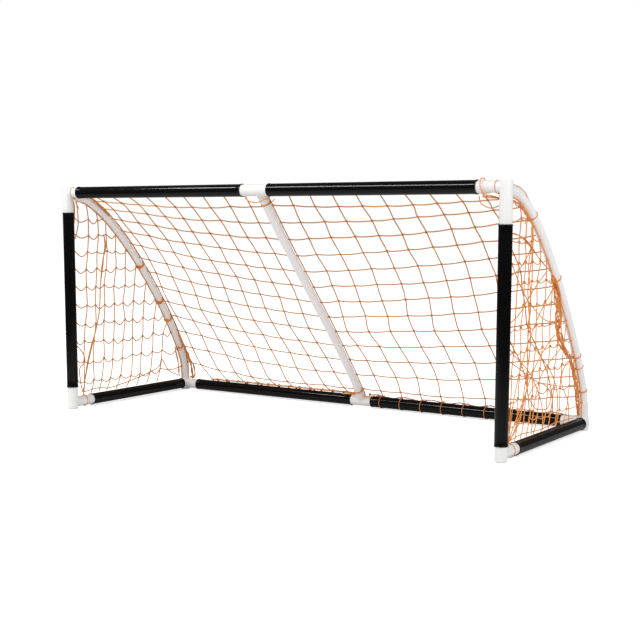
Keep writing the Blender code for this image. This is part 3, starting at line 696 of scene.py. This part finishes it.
def surface_faces(inside, number):
    """One four-sided face for each grid line that passes through the surface."""
    faces = []
    for axis in range(3):
        order = (axis, (axis + 1) % 3, (axis + 2) % 3)
        block = np.transpose(inside, order)
        cells = np.transpose(number, order)
        through = block[:-1, 1:-1, 1:-1] != block[1:, 1:-1, 1:-1]
        i, j, k = np.nonzero(through)
        quad = np.stack((cells[i, j, k], cells[i, j + 1, k],
                         cells[i, j + 1, k + 1], cells[i, j, k + 1]), axis=1)
        leaving = block[i, j + 1, k + 1]
        quad[~leaving] = quad[~leaving][:, ::-1]
        faces.append(quad)
    return np.concatenate(faces)


def fitting_mesh(name, parts, bores):
    """The fine surface of a fitting around the origin."""
    low = np.array(FIELD_LOW)
    high = np.array(FIELD_HIGH)
    for way, near, far, radius, _ in parts:
        for reach in (near, far):
            low = np.minimum(low, np.array(way) * reach - radius)
            high = np.maximum(high, np.array(way) * reach + radius)
    axes = [np.arange(start - 2 * FIELD_CELL, end + 3 * FIELD_CELL, FIELD_CELL)
            for start, end in zip(low, high)]
    grid = np.stack(np.meshgrid(*axes, indexing="ij"), axis=-1)
    values = fitting_field(grid.reshape(-1, 3), parts, bores)
    inside = values.reshape(grid.shape[:3]) < 0
    cells, number = surface_cells(inside)
    points = np.array([axis[0] for axis in axes]) + (cells + 0.5) * FIELD_CELL
    for _ in range(SETTLING_ROUNDS):
        distance = fitting_field(points, parts, bores)
        slope = np.stack([fitting_field(points + way * SLOPE_STEP, parts, bores) - distance
                          for way in np.eye(3)], axis=1) / SLOPE_STEP
        size = np.maximum((slope * slope).sum(axis=1), LEAST_SLOPE)
        points -= slope * np.clip(distance, -FIELD_CELL, FIELD_CELL)[:, None] / size[:, None]
    mesh = bpy.data.meshes.new(name)
    mesh.from_pydata(points.tolist(), [], surface_faces(inside, number).tolist())
    return mesh


def cleaned(mesh):
    """Joins the points of a mesh that lie together, and drops its faces without area."""
    bm = bmesh.new()
    bm.from_mesh(mesh)
    bmesh.ops.remove_doubles(bm, verts=bm.verts, dist=JOINED_WITHIN)
    bmesh.ops.dissolve_degenerate(bm, dist=JOINED_WITHIN / 2, edges=bm.edges)
    bm.to_mesh(mesh)
    bm.free()


def fewer_faces(mesh):
    """The same surface with fewer faces where it is plain."""
    cleaned(mesh)
    holder = placed(mesh.name + "_holder", mesh)
    modifier = holder.modifiers.new("fewer", "DECIMATE")
    modifier.ratio = FACES_KEPT
    plain = made_plain(holder)
    cleaned(plain)
    plain.shade_smooth()
    return plain


def fitting_shapes():
    """Each kind of fitting: its parts, its bores, and the bars whose crossing it sits on.

    A part is a direction, where it starts and ends, its radius and the rounding of its edges.
    A bore is a direction, how far out its mouth is, and its radius.
    """
    right, back, up = (1.0, 0.0, 0.0), (0.0, 1.0, 0.0), (0.0, 0.0, 1.0)
    left, front, down = (-1.0, 0.0, 0.0), (0.0, -1.0, 0.0), (0.0, 0.0, -1.0)
    corner_stay = sloped(SIDE_STAY[0][0])
    foot_stay = tuple(-part for part in sloped(SIDE_STAY[0][1]))
    top_stem = sloped(MIDDLE_STAY[0][0])
    foot_stem = tuple(-part for part in sloped(MIDDLE_STAY[0][1]))
    bar, stay, mouth = SOCKET_RADIUS, STAY_SOCKET, MOUTH_EDGE
    barrel = (right, -0.110, 0.110, bar, mouth)
    ends = ((right, 0.110, BAR_BORE), (left, 0.110, BAR_BORE))
    return {
        "top_corner": (
            ((up, -0.165, bar, bar, mouth), (up, 0.0, bar, bar, 0.006),
             (right, 0.0, 0.090, NECK_RADIUS, mouth), (right, 0.0727, 0.124, bar, mouth),
             (corner_stay, 0.0, 0.100, stay, mouth)),
            ((down, 0.165, BAR_BORE), (right, 0.124, BAR_BORE), (corner_stay, 0.100, STAY_BORE)),
            (FRONT_Y, BAR_Z)),
        "front_elbow": (
            ((up, -LOW_Z, 0.080, bar, 0.008), (up, 0.0, 0.110, bar, mouth),
             (back, 0.0, 0.140, bar, mouth)),
            ((up, 0.110, BAR_BORE), (back, 0.140, BAR_BORE)),
            (FRONT_Y, LOW_Z)),
        "rear_corner": (
            ((up, -LOW_Z, bar, bar, 0.007), (right, 0.0, 0.120, bar, mouth),
             (front, 0.0, 0.120, bar, mouth), (foot_stay, 0.0, 0.100, stay, mouth)),
            ((right, 0.120, BAR_BORE), (front, 0.120, BAR_BORE), (foot_stay, 0.100, STAY_BORE)),
            (REAR_Y, LOW_Z)),
        "crossbar_tee": (
            (barrel, (top_stem, 0.0, 0.068, stay, mouth)),
            ends + ((top_stem, 0.068, STAY_BORE),),
            (FRONT_Y, BAR_Z)),
        "rear_tee": (
            (barrel, (foot_stem, 0.0, 0.068, stay, mouth)),
            ends + ((foot_stem, 0.068, STAY_BORE),),
            (REAR_Y, LOW_Z)),
    }


def make_fittings(kit):
    """All the moulded fittings; a right one is its left one mirrored."""
    for kind, (parts, bores, (y, z)) in fitting_shapes().items():
        plain = fewer_faces(fitting_mesh(kind, parts, bores))
        places = {"": (0.0, 1)} if kind.endswith("tee") else {
            "_left": (-HALF_WIDTH, 1), "_right": (HALF_WIDTH, -1)}
        for word, (x, mirror) in places.items():
            mesh = plain.copy()
            mesh.transform(Matrix.Translation((x, y, z)) @ Matrix.Diagonal((mirror, 1, 1, 1)))
            if mirror < 0:
                mesh.flip_normals()
            piece = dressed(kind + word + "_moulded", mesh, kit["white"], "root")
            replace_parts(piece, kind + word)


# Sleeves and stays

def sleeve_profile(length):
    """A sleeve's section: distance along it and radius, with a rounded rim at each end."""
    rim = [(0.0004, SLEEVE_BORE), (0.0, SLEEVE_BORE + 0.0004), (0.0, RIM_RADIUS - 0.0009),
           (0.0003, RIM_RADIUS - 0.0003), (0.0009, RIM_RADIUS), (0.0038, RIM_RADIUS),
           (0.0046, RIM_RADIUS - 0.0003), (0.0052, RIM_RADIUS - 0.0010),
           (0.0056, SLEEVE_RADIUS + 0.0002), (0.0064, SLEEVE_RADIUS)]
    far = [(length - distance, radius) for distance, radius in reversed(rim)]
    rim_end = rim[-1][0]
    plain = [(rim_end + (length - 2 * rim_end) * step / SLEEVE_RINGS, SLEEVE_RADIUS)
             for step in range(1, SLEEVE_RINGS)]
    return rim + plain + far


def make_sleeve(name, kit):
    """A smooth sleeve in place of the solid's, riding with it."""
    start, way, length = SLEEVE_SPANS[name]
    start, way = Vector(start), Vector(way)
    first = way.orthogonal().normalized()
    second = way.cross(first)
    bm = bmesh.new()
    labels = [bm.verts.layers.float.new(label) for label in ALONG_AND_AROUND]
    rings = []
    for distance, radius in sleeve_profile(length):
        ring = []
        for side in range(SLEEVE_SIDES):
            turn = 2 * math.pi * side / SLEEVE_SIDES
            cosine, sine = math.cos(turn), math.sin(turn)
            vert = bm.verts.new(start + way * distance + (first * cosine + second * sine) * radius)
            for label, value in zip(labels, (distance, cosine, sine)):
                vert[label] = value
            ring.append(vert)
        rings.append(ring)
    join_rings(bm, rings)
    mesh = mesh_of(bm, name + "_smooth")
    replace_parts(dressed(name + "_smooth", mesh, kit["black"], name), name)


def make_stay(name, curve, x, kit):
    """A smooth bent tube in place of the solid's."""
    lines = CordLines()
    hidden = STAY_SEAT / curve.length
    shares = [hidden + (1 - 2 * hidden) * step / STAY_RINGS for step in range(STAY_RINGS + 1)]
    lines.add([curve.at(share)[0] + X_AXIS * x for share in shares])
    piece = corded(name + "_smooth", lines, kit, thickness=2 * STAY_RADIUS, sides=STAY_SIDES,
                   finish="stay")
    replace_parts(piece, name)


# The back net

# Slack cords from the left stay to the rear corner: their number, their spread, and how far they
# leave the stay, in millimetres.
CORNER_SLACK = ((5, 4.5, 26), (2, 4.0, 50))

# Where the net's border is knotted to the rear bar, and how its four left cords wind round it.
BAR_KNOTS_X = (-1.166, -1.150, -0.10, 0.05, 0.10)
BAR_PHASES = (0.0, 1.6, 3.1, 4.7)


def row_share(row, x):
    """How far down a row of the back net lies at x: it sags between the stays."""
    level = ROW_STEP * row
    width = min(abs(x) / NET_EDGE_X, 1.0)
    lean = 0.09 * math.exp(-level / 0.11) - 0.04 * level
    return level + 0.018 * math.sin(math.pi * width) + lean * width


def column_x(column, share):
    """Where a column of the back net lies across, at a share of the way down."""
    drift = -0.040 * math.exp(-((share - 0.66) / 0.13) ** 2)
    if column == 0:
        return 0.010
    if column > 0:
        top = 0.035 * math.exp(-share / 0.05)
        return RIGHT_COLUMN_STEP * column + drift + top * 0.2
    slack = max(share - 0.90, 0.0) / 0.09
    return LEFT_COLUMN_STEP * column - 0.005 + drift + (0.035 - 0.007 * column) * slack * slack


def back_knots(rng):
    """Where the knots of the back net lie: across, and down by a share."""
    knots = {}
    for row in NET_ROWS:
        for column in NET_COLUMNS:
            x = column_x(column, row * ROW_STEP)
            if column:
                x += rng.uniform(-0.006, 0.006)
            share = row_share(row, x) + rng.uniform(-0.0028, 0.0028)
            knots[row, column] = (x, share)
    return knots


def add_back_meshes(lines, rng):
    """Columns from bar to bar, and rows from stay to stay, with a knot at each crossing."""
    knots = back_knots(rng)
    for column in NET_COLUMNS:
        places = [(column_x(column, 0.0), NET_TOP)]
        places += [knots[row, column] for row in NET_ROWS]
        places.append((column_x(column, 1.0), NET_FOOT))
        facing = [back_facing(*place) for place in places]
        line = wavy(smoothed([back_point(*place) for place in places], NET_SMOOTHING), rng, 0.0007)
        ways = [facing[min(round(index / NET_SMOOTHING), len(facing) - 1)]
                for index in range(len(line))]
        lines.add(line, range(NET_SMOOTHING, len(line) - 1, NET_SMOOTHING), ways)
    for row in NET_ROWS:
        ends = [(side * NET_EDGE_X, row_share(row, NET_EDGE_X)) for side in (-1, 1)]
        places = [ends[0]] + [knots[row, column] for column in NET_COLUMNS] + [ends[1]]
        line = smoothed([back_point(*place) for place in places], NET_SMOOTHING)
        for index, point in enumerate(line):
            share = (index % NET_SMOOTHING) / NET_SMOOTHING
            point.z -= 0.012 * share * (1 - share)
        lines.add(line, (0, len(line) - 1), back_facing(1.2, row * ROW_STEP))


def make_back_net(kit):
    """The back net: its meshes, its borders, and the slack cords along the left stay."""
    rng = random.Random(11)
    lines = CordLines()
    add_back_meshes(lines, rng)
    for lift in (0.0, 0.0045):
        lines.add([back_point(x / 40 * NET_EDGE_X, NET_TOP)
                   + Z_AXIS * (lift + rng.uniform(-0.001, 0.001)) for x in range(-40, 41)])
    for side in (-1, 1):
        for strand in range(2):
            lines.add(stay_border(side, strand, rng))
    for count, spread, away in CORNER_SLACK:
        bundle(lines, corner_drop(away / 1000), count, spread, rng)
    bundle(lines, neck_run(), 3, 3.5, rng)
    for phase in BAR_PHASES:
        lines.add(bar_border(-1.02, -0.02, 96, phase, rng), range(3, 70, 5), Z_AXIS)
    lines.add(bar_border(0.02, NET_EDGE_X, 128, 0.0, rng))
    for x in BAR_KNOTS_X:
        lines.add([Vector((x, REAR_Y - 0.010, LOW_Z + 0.039)),
                   Vector((x + 0.012, REAR_Y - 0.014, LOW_Z + 0.036))], (0,), Z_AXIS)
    # The net finish is the cord's colour darkened as painted shade.
    piece = corded("net_back", lines, kit, finish="net")
    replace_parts(piece, *["net_back_" + level + "_" + side
                         for level in ("upper", "middle", "lower") for side in ("left", "right")])


def stay_border(side, strand, rng):
    """A border cord of the back net, along the outer edge of a side stay."""
    line = []
    for step in range(91):
        share = NET_TOP + (NET_FOOT - NET_TOP) * step / 90
        point, normal = SIDE_CURVE.at(share)
        turn = 9 * share + 3.1 * strand
        reach = STAY_RADIUS + CORD * 0.6 + 0.0008 + 0.0012 * (1 + math.cos(turn))
        across = 0.62 + 0.22 * math.sin(turn)
        way = X_AXIS * (-side * math.sin(across)) + normal * math.cos(across)
        line.append(point + X_AXIS * (side * HALF_WIDTH) + way * reach)
    return wavy(line, rng, 0.0008)


def corner_drop(away):
    """A route down the inner edge of the left stay, leaving it near the rear corner."""
    route = []
    for step in range(7):
        share = 0.79 + 0.165 * step / 6
        point, normal = SIDE_CURVE.at(share)
        across = STAY_RADIUS + 0.0085 + away * (step / 6) ** 2
        route.append(point + normal * 0.006 + X_AXIS * (across - HALF_WIDTH))
    route.append(Vector((0.064 - HALF_WIDTH, REAR_Y - 0.004, LOW_Z + SOCKET_RADIUS + 0.005)))
    return route


def neck_run():
    """A route down the inner edge of the left stay, from the top corner."""
    route = []
    for step in range(7):
        point, normal = SIDE_CURVE.at(0.045 + 0.16 * step / 6)
        across = STAY_RADIUS + 0.0080 + 0.006 * math.sin(0.9 * step)
        route.append(point + normal * 0.010 + X_AXIS * (across - HALF_WIDTH))
    return route


def bar_border(first_x, last_x, turned, phase, rng):
    """A border cord of the back net, along the rear bar, turned to its back by an angle."""
    line = []
    for step in range(71):
        x = first_x + (last_x - first_x) * step / 70
        turn = 38 * x + phase
        reach = RIM_RADIUS + 0.0042 + 0.0018 * (1 + math.sin(turn))
        angle = math.radians(turned - 90 + 15 * math.cos(turn))
        line.append(Vector((x, REAR_Y + reach * math.sin(angle), LOW_Z + reach * math.cos(angle))))
    return wavy(line, rng, 0.0006)


def bundle(lines, route, count, spread, rng, steps=6):
    """Several slack cords side by side that wander round one route, spread by millimetres."""
    spread = spread / 1000
    middle = smoothed(route, steps)
    for strand in range(count):
        phase = rng.uniform(0, 2 * math.pi)
        pace = rng.uniform(0.25, 0.55)
        line = []
        for index, point in enumerate(middle):
            end = min(index, len(middle) - 1 - index) / steps
            width = spread * min(1.0, 0.35 + end * 0.5)
            turn = phase + pace * index
            line.append(point + Vector((math.cos(turn), math.sin(turn), math.sin(turn * 1.3 + 1.0)))
                        * width)
        lines.add(wavy(line, rng, spread * 0.2), thick=rng.uniform(0.8, 1.0))


# The side nets

# Slack cords of each side net: their number, their spread, and their route in millimetres, as
# distances behind the post and heights.
LEFT_SLACK = (
    (2, 3, ((36, 1075), (44, 1020), (36, 960))),
    (1, 2, ((60, 1075), (70, 960), (42, 880))),
    (2, 3, ((250, 900), (262, 840), (240, 760), (225, 640), (200, 480), (120, 250), (75, 80))),
    (1, 2, ((36, 330), (75, 290), (90, 240), (52, 200), (70, 80))),
    (1, 2, ((75, 78), (190, 88), (290, 80), (480, 105), (660, 150), (700, 190), (760, 120),
            (835, 90))),
    (2, 3, ((812, 250), (834, 180), (845, 110), (850, 78))),
)
RIGHT_SLACK = (
    (4, 5, ((36, 1066), (94, 1052), (150, 1030), (205, 1000), (262, 965))),
    (2, 6, ((262, 965), (262, 900), (246, 800), (246, 651), (254, 482), (243, 313), (180, 160),
            (85, 75))),
    (2, 3, ((34, 930), (110, 925), (210, 893), (332, 826), (442, 772), (490, 752))),
    (11, 12.5, ((490, 752), (530, 690), (565, 590), (568, 500), (630, 420), (727, 350))),
    (9, 8.5, ((727, 350), (775, 270), (805, 193), (828, 110), (836, 78))),
    (1, 2, ((258, 238), (339, 282), (447, 263), (506, 212), (453, 160), (344, 178), (262, 230))),
    (1, 2, ((70, 75), (110, 240), (190, 380), (330, 560), (500, 690))),
    (1, 2, ((75, 75), (160, 180), (300, 330), (420, 430), (530, 480))),
    (1, 2, ((40, 750), (150, 790), (240, 850), (262, 950))),
    (1, 2, ((36, 840), (130, 740), (246, 640), (400, 560), (530, 540))),
    (1, 2, ((36, 560), (160, 600), (300, 700), (430, 765))),
    (1, 2, ((36, 420), (200, 350), (360, 290), (560, 250), (800, 220))),
    (1, 2, ((300, 70), (330, 220), (420, 330), (605, 419))),
    (1, 2, ((420, 70), (400, 200), (280, 330), (120, 420), (36, 480))),
    (1, 2, ((560, 70), (580, 180), (520, 300), (380, 400), (250, 480))),
    (1, 2, ((720, 70), (700, 160), (620, 260), (660, 330), (727, 350))),
    (1, 2, ((62, 74), (200, 85), (380, 76), (560, 84), (780, 74))),
)

# Each side: its name, how deep its rows sag, its cord and finish, and its slack cords.
SIDES = {
    # The left side takes the net finish, the cord's colour darkened as painted shade; the right side
    # keeps the plain cord colour.
    -1: ("left", 1.0, CORD, "net", LEFT_SLACK),
    1: ("right", 0.55, RIGHT_SIDE_CORD, "cord", RIGHT_SLACK),
}


def beneath(share):
    """The point on the underside of a side stay's middle plane at a share of its length."""
    point, normal = SIDE_CURVE.at(share)
    return point - normal * (STAY_RADIUS + CORD / 2)


def under_stay(measure, wanted):
    """The share of a side stay where a measure of its underside reaches a wanted value."""
    low, high = 0.0, 1.0
    for _ in range(40):
        middle = (low + high) / 2
        if measure(beneath(middle)) < wanted:
            low = middle
        else:
            high = middle
    return low


def column_y(column, z):
    """Where a column of a side net lies, by height."""
    spread = 0.105 + 0.077 * column - 0.02 * math.sin(math.pi * column / 8)
    gather = 0.05 * math.exp(-(z - 0.06) / 0.05)
    return FRONT_Y + spread + 0.07 * (z - 0.45) - gather * min(column / 3, 1.0)


def add_side_columns(lines, x, rng):
    """The hanging columns of a side net; gives the places of its knots."""
    knots = {}
    for column in SIDE_COLUMNS:
        share = under_stay(lambda point: point.y, column_y(column, 0.8))
        top = beneath(share)
        points = [Vector((x, column_y(column, SIDE_FLOOR), SIDE_FLOOR))]
        for index, z in enumerate([z for z in SIDE_HEIGHTS if z < top.z - 0.03]):
            y = column_y(column, z) + rng.uniform(-0.007, 0.007)
            z += rng.uniform(-0.008, 0.008)
            points.append(Vector((x + rng.uniform(-0.004, 0.004), y, z)))
            knots[column, index] = points[-1]
        points.append(Vector((x, top.y, top.z)))
        held = range(SIDE_SMOOTHING, SIDE_SMOOTHING * (len(points) - 1), SIDE_SMOOTHING)
        lines.add(wavy(smoothed(points, SIDE_SMOOTHING), rng, 0.0008), held, X_AXIS)
    return knots


def add_side_rows(lines, side, slack, knots, rng):
    """The rows of a side net, which sag between its columns in small arcs."""
    x = side * HALF_WIDTH
    for row, z in enumerate(SIDE_HEIGHTS):
        share = under_stay(lambda point: -point.z, -z)
        back = beneath(share)
        places = [Vector((x, SIDE_FRONT, z + 0.01))]
        places += [knots[column, row] for column in SIDE_COLUMNS if (column, row) in knots]
        places.append(Vector((x, back.y, back.z)))
        line = []
        for near, far in zip(places, places[1:]):
            span = (far - near).length
            sag = slack * min(0.26 * span, 0.024) * rng.uniform(0.45, 1.25)
            bulge = side * rng.uniform(-0.007, 0.007)
            for step in range(SAG_STEPS):
                t = step / SAG_STEPS
                arc = math.sin(math.pi * t) ** 1.3 if step else 0.0
                line.append(near.lerp(far, t) + Vector((bulge * arc, 0, -sag * arc)))
        line.append(places[-1])
        lines.add(line, (0, len(line) - 1), X_AXIS)


def make_side_net(side, kit):
    """A side net: its columns and rows, its borders at the post and the stay, and slack cords."""
    rng = random.Random(30 + side)
    word, slack, cord, finish, slack_cords = SIDES[side]
    x = side * HALF_WIDTH
    lines = CordLines()
    knots = add_side_columns(lines, x, rng)
    add_side_rows(lines, side, slack, knots, rng)
    post_edge = [Vector((x, SIDE_FRONT + 0.002 * math.sin(17 * step), SIDE_FLOOR + 0.96 * step / 40))
                 for step in range(41)]
    lines.add(wavy(post_edge, rng, 0.001))
    stay_edge = [beneath(0.05 + 0.93 * step / 70) + X_AXIS * x for step in range(71)]
    lines.add(wavy(stay_edge, rng, 0.001))
    for count, spread, places in slack_cords:
        route = [Vector((x, FRONT_Y + back / 1000, height / 1000)) for back, height in places]
        bundle(lines, route, count, spread, rng)
    piece = corded("net_side_" + word + "_cords", lines, kit, thickness=cord, seed=9, finish=finish)
    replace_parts(piece, "net_side_" + word)


# Ties, lacing and loose cords

# Each tie: its turns, its cord in millimetres, the side its knot lies on, and how far its loose
# ends hang from the knot, in millimetres.
TIES = {
    "tie_top_left": (1, 3.0, (-0.2, 0.3, -1), ((-4, 30, -50), (-6, 40, -58))),
    "tie_top_right": (1, 2.7, (0.2, 0.3, -1), ((4, 10, -34), (34, 40, -10))),
    "tie_elbow_left": (1, 3.0, (0.2, -0.2, 1), ((-4, -6, 34), (10, -38, 6))),
    "tie_elbow_right": (1, 3.0, (-0.1, -0.2, 1), ((-6, -20, 30), (12, -6, 34))),
    "tie_tee": (2, 4.2, (1, -0.3, 0.3), ((24, 0, -14), (30, -6, 16))),
    "tie_rear_tee": (2, 4.2, (1, -0.4, 0.3), ((20, 0, 18), (26, -10, -4))),
    "tie_stay_left_1": (3, 5.2, (0.4, -1, 0.2), ((14, -12, 12), (12, -10, -12))),
    "tie_stay_left_2": (4, 5.0, (0.4, -1, 0.2), ((14, -10, -12), (-14, -10, 6))),
    "tie_stay_left_3": (3, 5.0, (0.5, -1, 0.1), ((18, -4, 8), (10, -12, -12))),
    "tie_stay_left_4": (2, 4.2, (0.6, -1, 0.2), ((18, -6, -14), (6, -12, 12))),
    "tie_stay_right_1": (1, 3.8, (-0.6, -1, -0.2), ((-4, -10, -20), (-14, -10, 8))),
    "tie_stay_right_2": (2, 4.0, (-0.3, -1, -0.2), ((-4, -16, -14), (-12, -14, 6))),
    "tie_stay_right_3": (2, 3.8, (-0.3, -1, -0.2), ((-4, -16, -14), (-12, -14, 6))),
    "tie_stay_right_4": (1, 3.6, (-0.3, -1, -0.2), ((-6, -16, -10), (-10, -14, 10))),
    "tie_stay_right_5": (2, 4.0, (-0.3, -1, -0.2), ((-4, -14, -16), (-12, -12, 8))),
}

# Cords that hang at the tees and at the right neck: their number, their spread, the bar that they
# are measured from, and their points across, behind that bar and above the floor, in millimetres.
LOOSE_CORDS = (
    (2, 1.4, FRONT_Y, ((-86, 12, 1084), (-74, -12, 1078), (-40, -18, 1062), (0, -20, 1060),
                       (34, -12, 1072), (44, 14, 1076))),
    (2, 1.4, REAR_Y, ((-110, -30, 66), (-60, -34, 70), (0, -36, 68), (50, -34, 64), (90, -26, 70))),
    (3, 4.5, FRONT_Y, ((1112, 14, 1078), (1132, -14, 1078), (1160, 6, 1074), (1205, 94, 1050))),
    (1, 0.6, FRONT_Y, ((1112, 35, 1108), (1114, 22, 1142), (1116, -6, 1150), (1119, -30, 1134),
                       (1124, -36, 1108), (1140, -22, 1084), (1165, 6, 1074), (1200, 70, 1060))),
    (1, 1.0, FRONT_Y, ((1100, 0, 1078), (1112, -4, 1050), (1150, 4, 1030), (1180, 40, 1045))),
)


def ring_of(name):
    """The centre, axis and radius of a cord loop of the solids."""
    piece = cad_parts[name]
    places = np.array([piece.matrix_world @ vert.co for vert in piece.data.vertices])
    centre = places.mean(axis=0)
    axis = np.linalg.svd(places - centre, full_matrices=False)[2][2]
    across = places - centre
    across -= np.outer(across @ axis, axis)
    radius = np.linalg.norm(across, axis=1).mean()
    return Vector(centre), Vector(axis), float(radius)


def make_tie(name, kit, rng):
    """A tie: cord wound round a tube, a knot on it, and loose ends."""
    turns, cord, outward, tails = TIES[name]
    cord = cord / 1000
    centre, axis, radius = ring_of(name)
    radius += (cord - CAD_TIE_CORD) / 2 + 0.0002
    outward = Vector(outward)
    first = (outward - axis * outward.dot(axis)).normalized()
    second = axis.cross(first)
    pitch = cord * 1.1
    steps = TIE_STEPS * turns
    coil = []
    for step in range(steps + 1):
        turn = 2 * math.pi * step / TIE_STEPS
        along = (step / steps - 0.5) * (turns - 1) * pitch
        lift = 1.0 + 0.02 * math.sin(2.3 * turn)
        coil.append(centre + axis * along + (first * math.cos(turn) + second * math.sin(turn))
                    * radius * lift)
    lines = CordLines()
    lines.add(coil)
    away = axis * (0.02 * min(max(outward.dot(axis), -0.2), 0.2))
    knot = centre + first * (radius + cord * 0.55) + away
    half = axis * (0.0010 if turns == 1 else 0.003)
    lines.add([knot - half, knot, knot + half], (0, 1, 2), first)
    for tail, end in zip(tails, (coil[-1], coil[0])):
        tail = Vector(metres(tail))
        route = [end, knot, knot + tail * 0.45 + first * 0.006, knot + tail]
        lines.add(wavy(smoothed(route, 5), rng, 0.0008))
    piece = corded(name + "_cords", lines, kit, thickness=cord, knot_size=cord * 0.9)
    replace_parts(piece, name)


def make_lacing(kit):
    """The lacing: upright turns over the front of the rear bar, with a knot on top of each."""
    rng = random.Random(5)
    reach = SLEEVE_RADIUS + LACING_CORD / 2 + 0.0003
    pitch = (LACING_LAST_X - LACING_FIRST_X) / LACING_TURNS
    lines = CordLines()
    route = [Vector((LACING_FIRST_X, REAR_Y, LOW_Z + reach))]
    for step in range(LACING_TURNS * LACING_STEPS + 1):
        turn, share = divmod(step / LACING_STEPS, 1.0)
        angle = math.pi / 2 + 2 * math.pi * share
        x = LACING_FRONT_X + pitch * (turn + 2 * max(share - 0.5, 0.0))
        route.append(Vector((min(x, LACING_LAST_X), REAR_Y + reach * math.cos(angle),
                             LOW_Z + reach * math.sin(angle))))
    lines.add(wavy(route, rng, 0.0003))
    for turn in range(LACING_TURNS):
        x = LACING_FRONT_X + pitch * turn
        top = Vector((x + 0.004, REAR_Y - 0.003, LOW_Z + reach + 0.0035))
        hook = [top + Vector((0.030, 0.012, 0.010)), top + Vector((0.014, 0.004, 0.004)), top,
                Vector((x + 0.001, REAR_Y - 0.018, LOW_Z + reach * 0.86))]
        lines.add(smoothed(hook, 4), (8,), Z_AXIS)
    piece = corded("rear_lacing_cords", lines, kit, thickness=LACING_CORD, knot_size=0.0040)
    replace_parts(piece, "rear_lacing")


def make_loose_cords(kit):
    """The loose cords at the tees, under the right neck and along the right stay."""
    rng = random.Random(17)
    lines = CordLines()
    for count, spread, bar_y, places in LOOSE_CORDS:
        route = [Vector((x, bar_y + y, z)) for x, y, z in map(metres, places)]
        bundle(lines, route, count, spread, rng)
    outer = []
    for step in range(41):
        share = step / 40
        point, normal = SIDE_CURVE.at(0.030 + 0.175 * share)
        reach = STAY_RADIUS + 0.003 + 0.009 * math.sin(math.pi * share)
        outer.append(point + X_AXIS * (HALF_WIDTH + 0.004 * math.sin(5 * share)) + normal * reach)
    lines.add(wavy(outer, rng, 0.0006))
    corded("loose_cords", lines, kit, thickness=LOOSE_CORD)


# The whole scene

def make_kit():
    """The finishes that the pieces share, and what makes their cords."""
    return {
        "white": moulded_finish("white_moulding", (0.85, 0.85, 0.84), (0.81, 0.81, 0.79), 0.30),
        "tube": moulded_finish("white_drawn_tube", (0.83, 0.83, 0.82), (0.78, 0.78, 0.76), 0.36),
        "stay": drawn_finish("warm_grey_stay", (0.90, 0.885, 0.88), (0.86, 0.84, 0.835),
                             0.42, 0.02, 0.4),
        "black": drawn_finish("gloss_black_sleeve", (0.0015, 0.0015, 0.0018),
                              (0.0035, 0.003, 0.0035), 0.10, 0.03, 0.24),
        "cord": cord_finish("orange_cord", (0.94, 0.350, 0.030), (0.60, 0.165, 0.010)),
        # Painted shade: the net finish is the same orange cord darkened, for the back net and the
        # left side net, which lie in less light.
        "net": cord_finish("orange_net_cord", (0.82, 0.325, 0.035), (0.44, 0.142, 0.014)),
        "tree": cord_tree(),
        "knot": knot_shape(),
    }


def finish_of(name):
    """The finish that a solid of the frame takes, by its name."""
    if "sleeve" in name:
        return "black"
    if name.startswith(("net", "tie", "rear_lacing")):
        return "cord"
    if "stay" in name:
        return "stay"
    if "tube" in name:
        return "tube"
    return "white"


def main():
    """Sets the studio, makes every piece, and finishes the solids that stay."""
    add_camera()
    add_world()
    add_lights()
    add_floor()
    kit = make_kit()
    make_fittings(kit)
    for name in SLEEVE_SPANS:
        make_sleeve(name, kit)
    make_stay("side_stay_left", SIDE_CURVE, -HALF_WIDTH, kit)
    make_stay("side_stay_right", SIDE_CURVE, HALF_WIDTH, kit)
    make_stay("middle_stay", MIDDLE_CURVE, 0.0, kit)
    make_back_net(kit)
    for side in SIDES:
        make_side_net(side, kit)
    rng = random.Random(23)
    for name in TIES:
        make_tie(name, kit, rng)
    make_lacing(kit)
    make_loose_cords(kit)
    bpy.data.objects.remove(kit["knot"])
    for name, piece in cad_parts.items():
        piece.data.materials.clear()
        piece.data.materials.append(kit[finish_of(name)])
    bpy.context.scene.view_settings.view_transform = "Standard"


main()
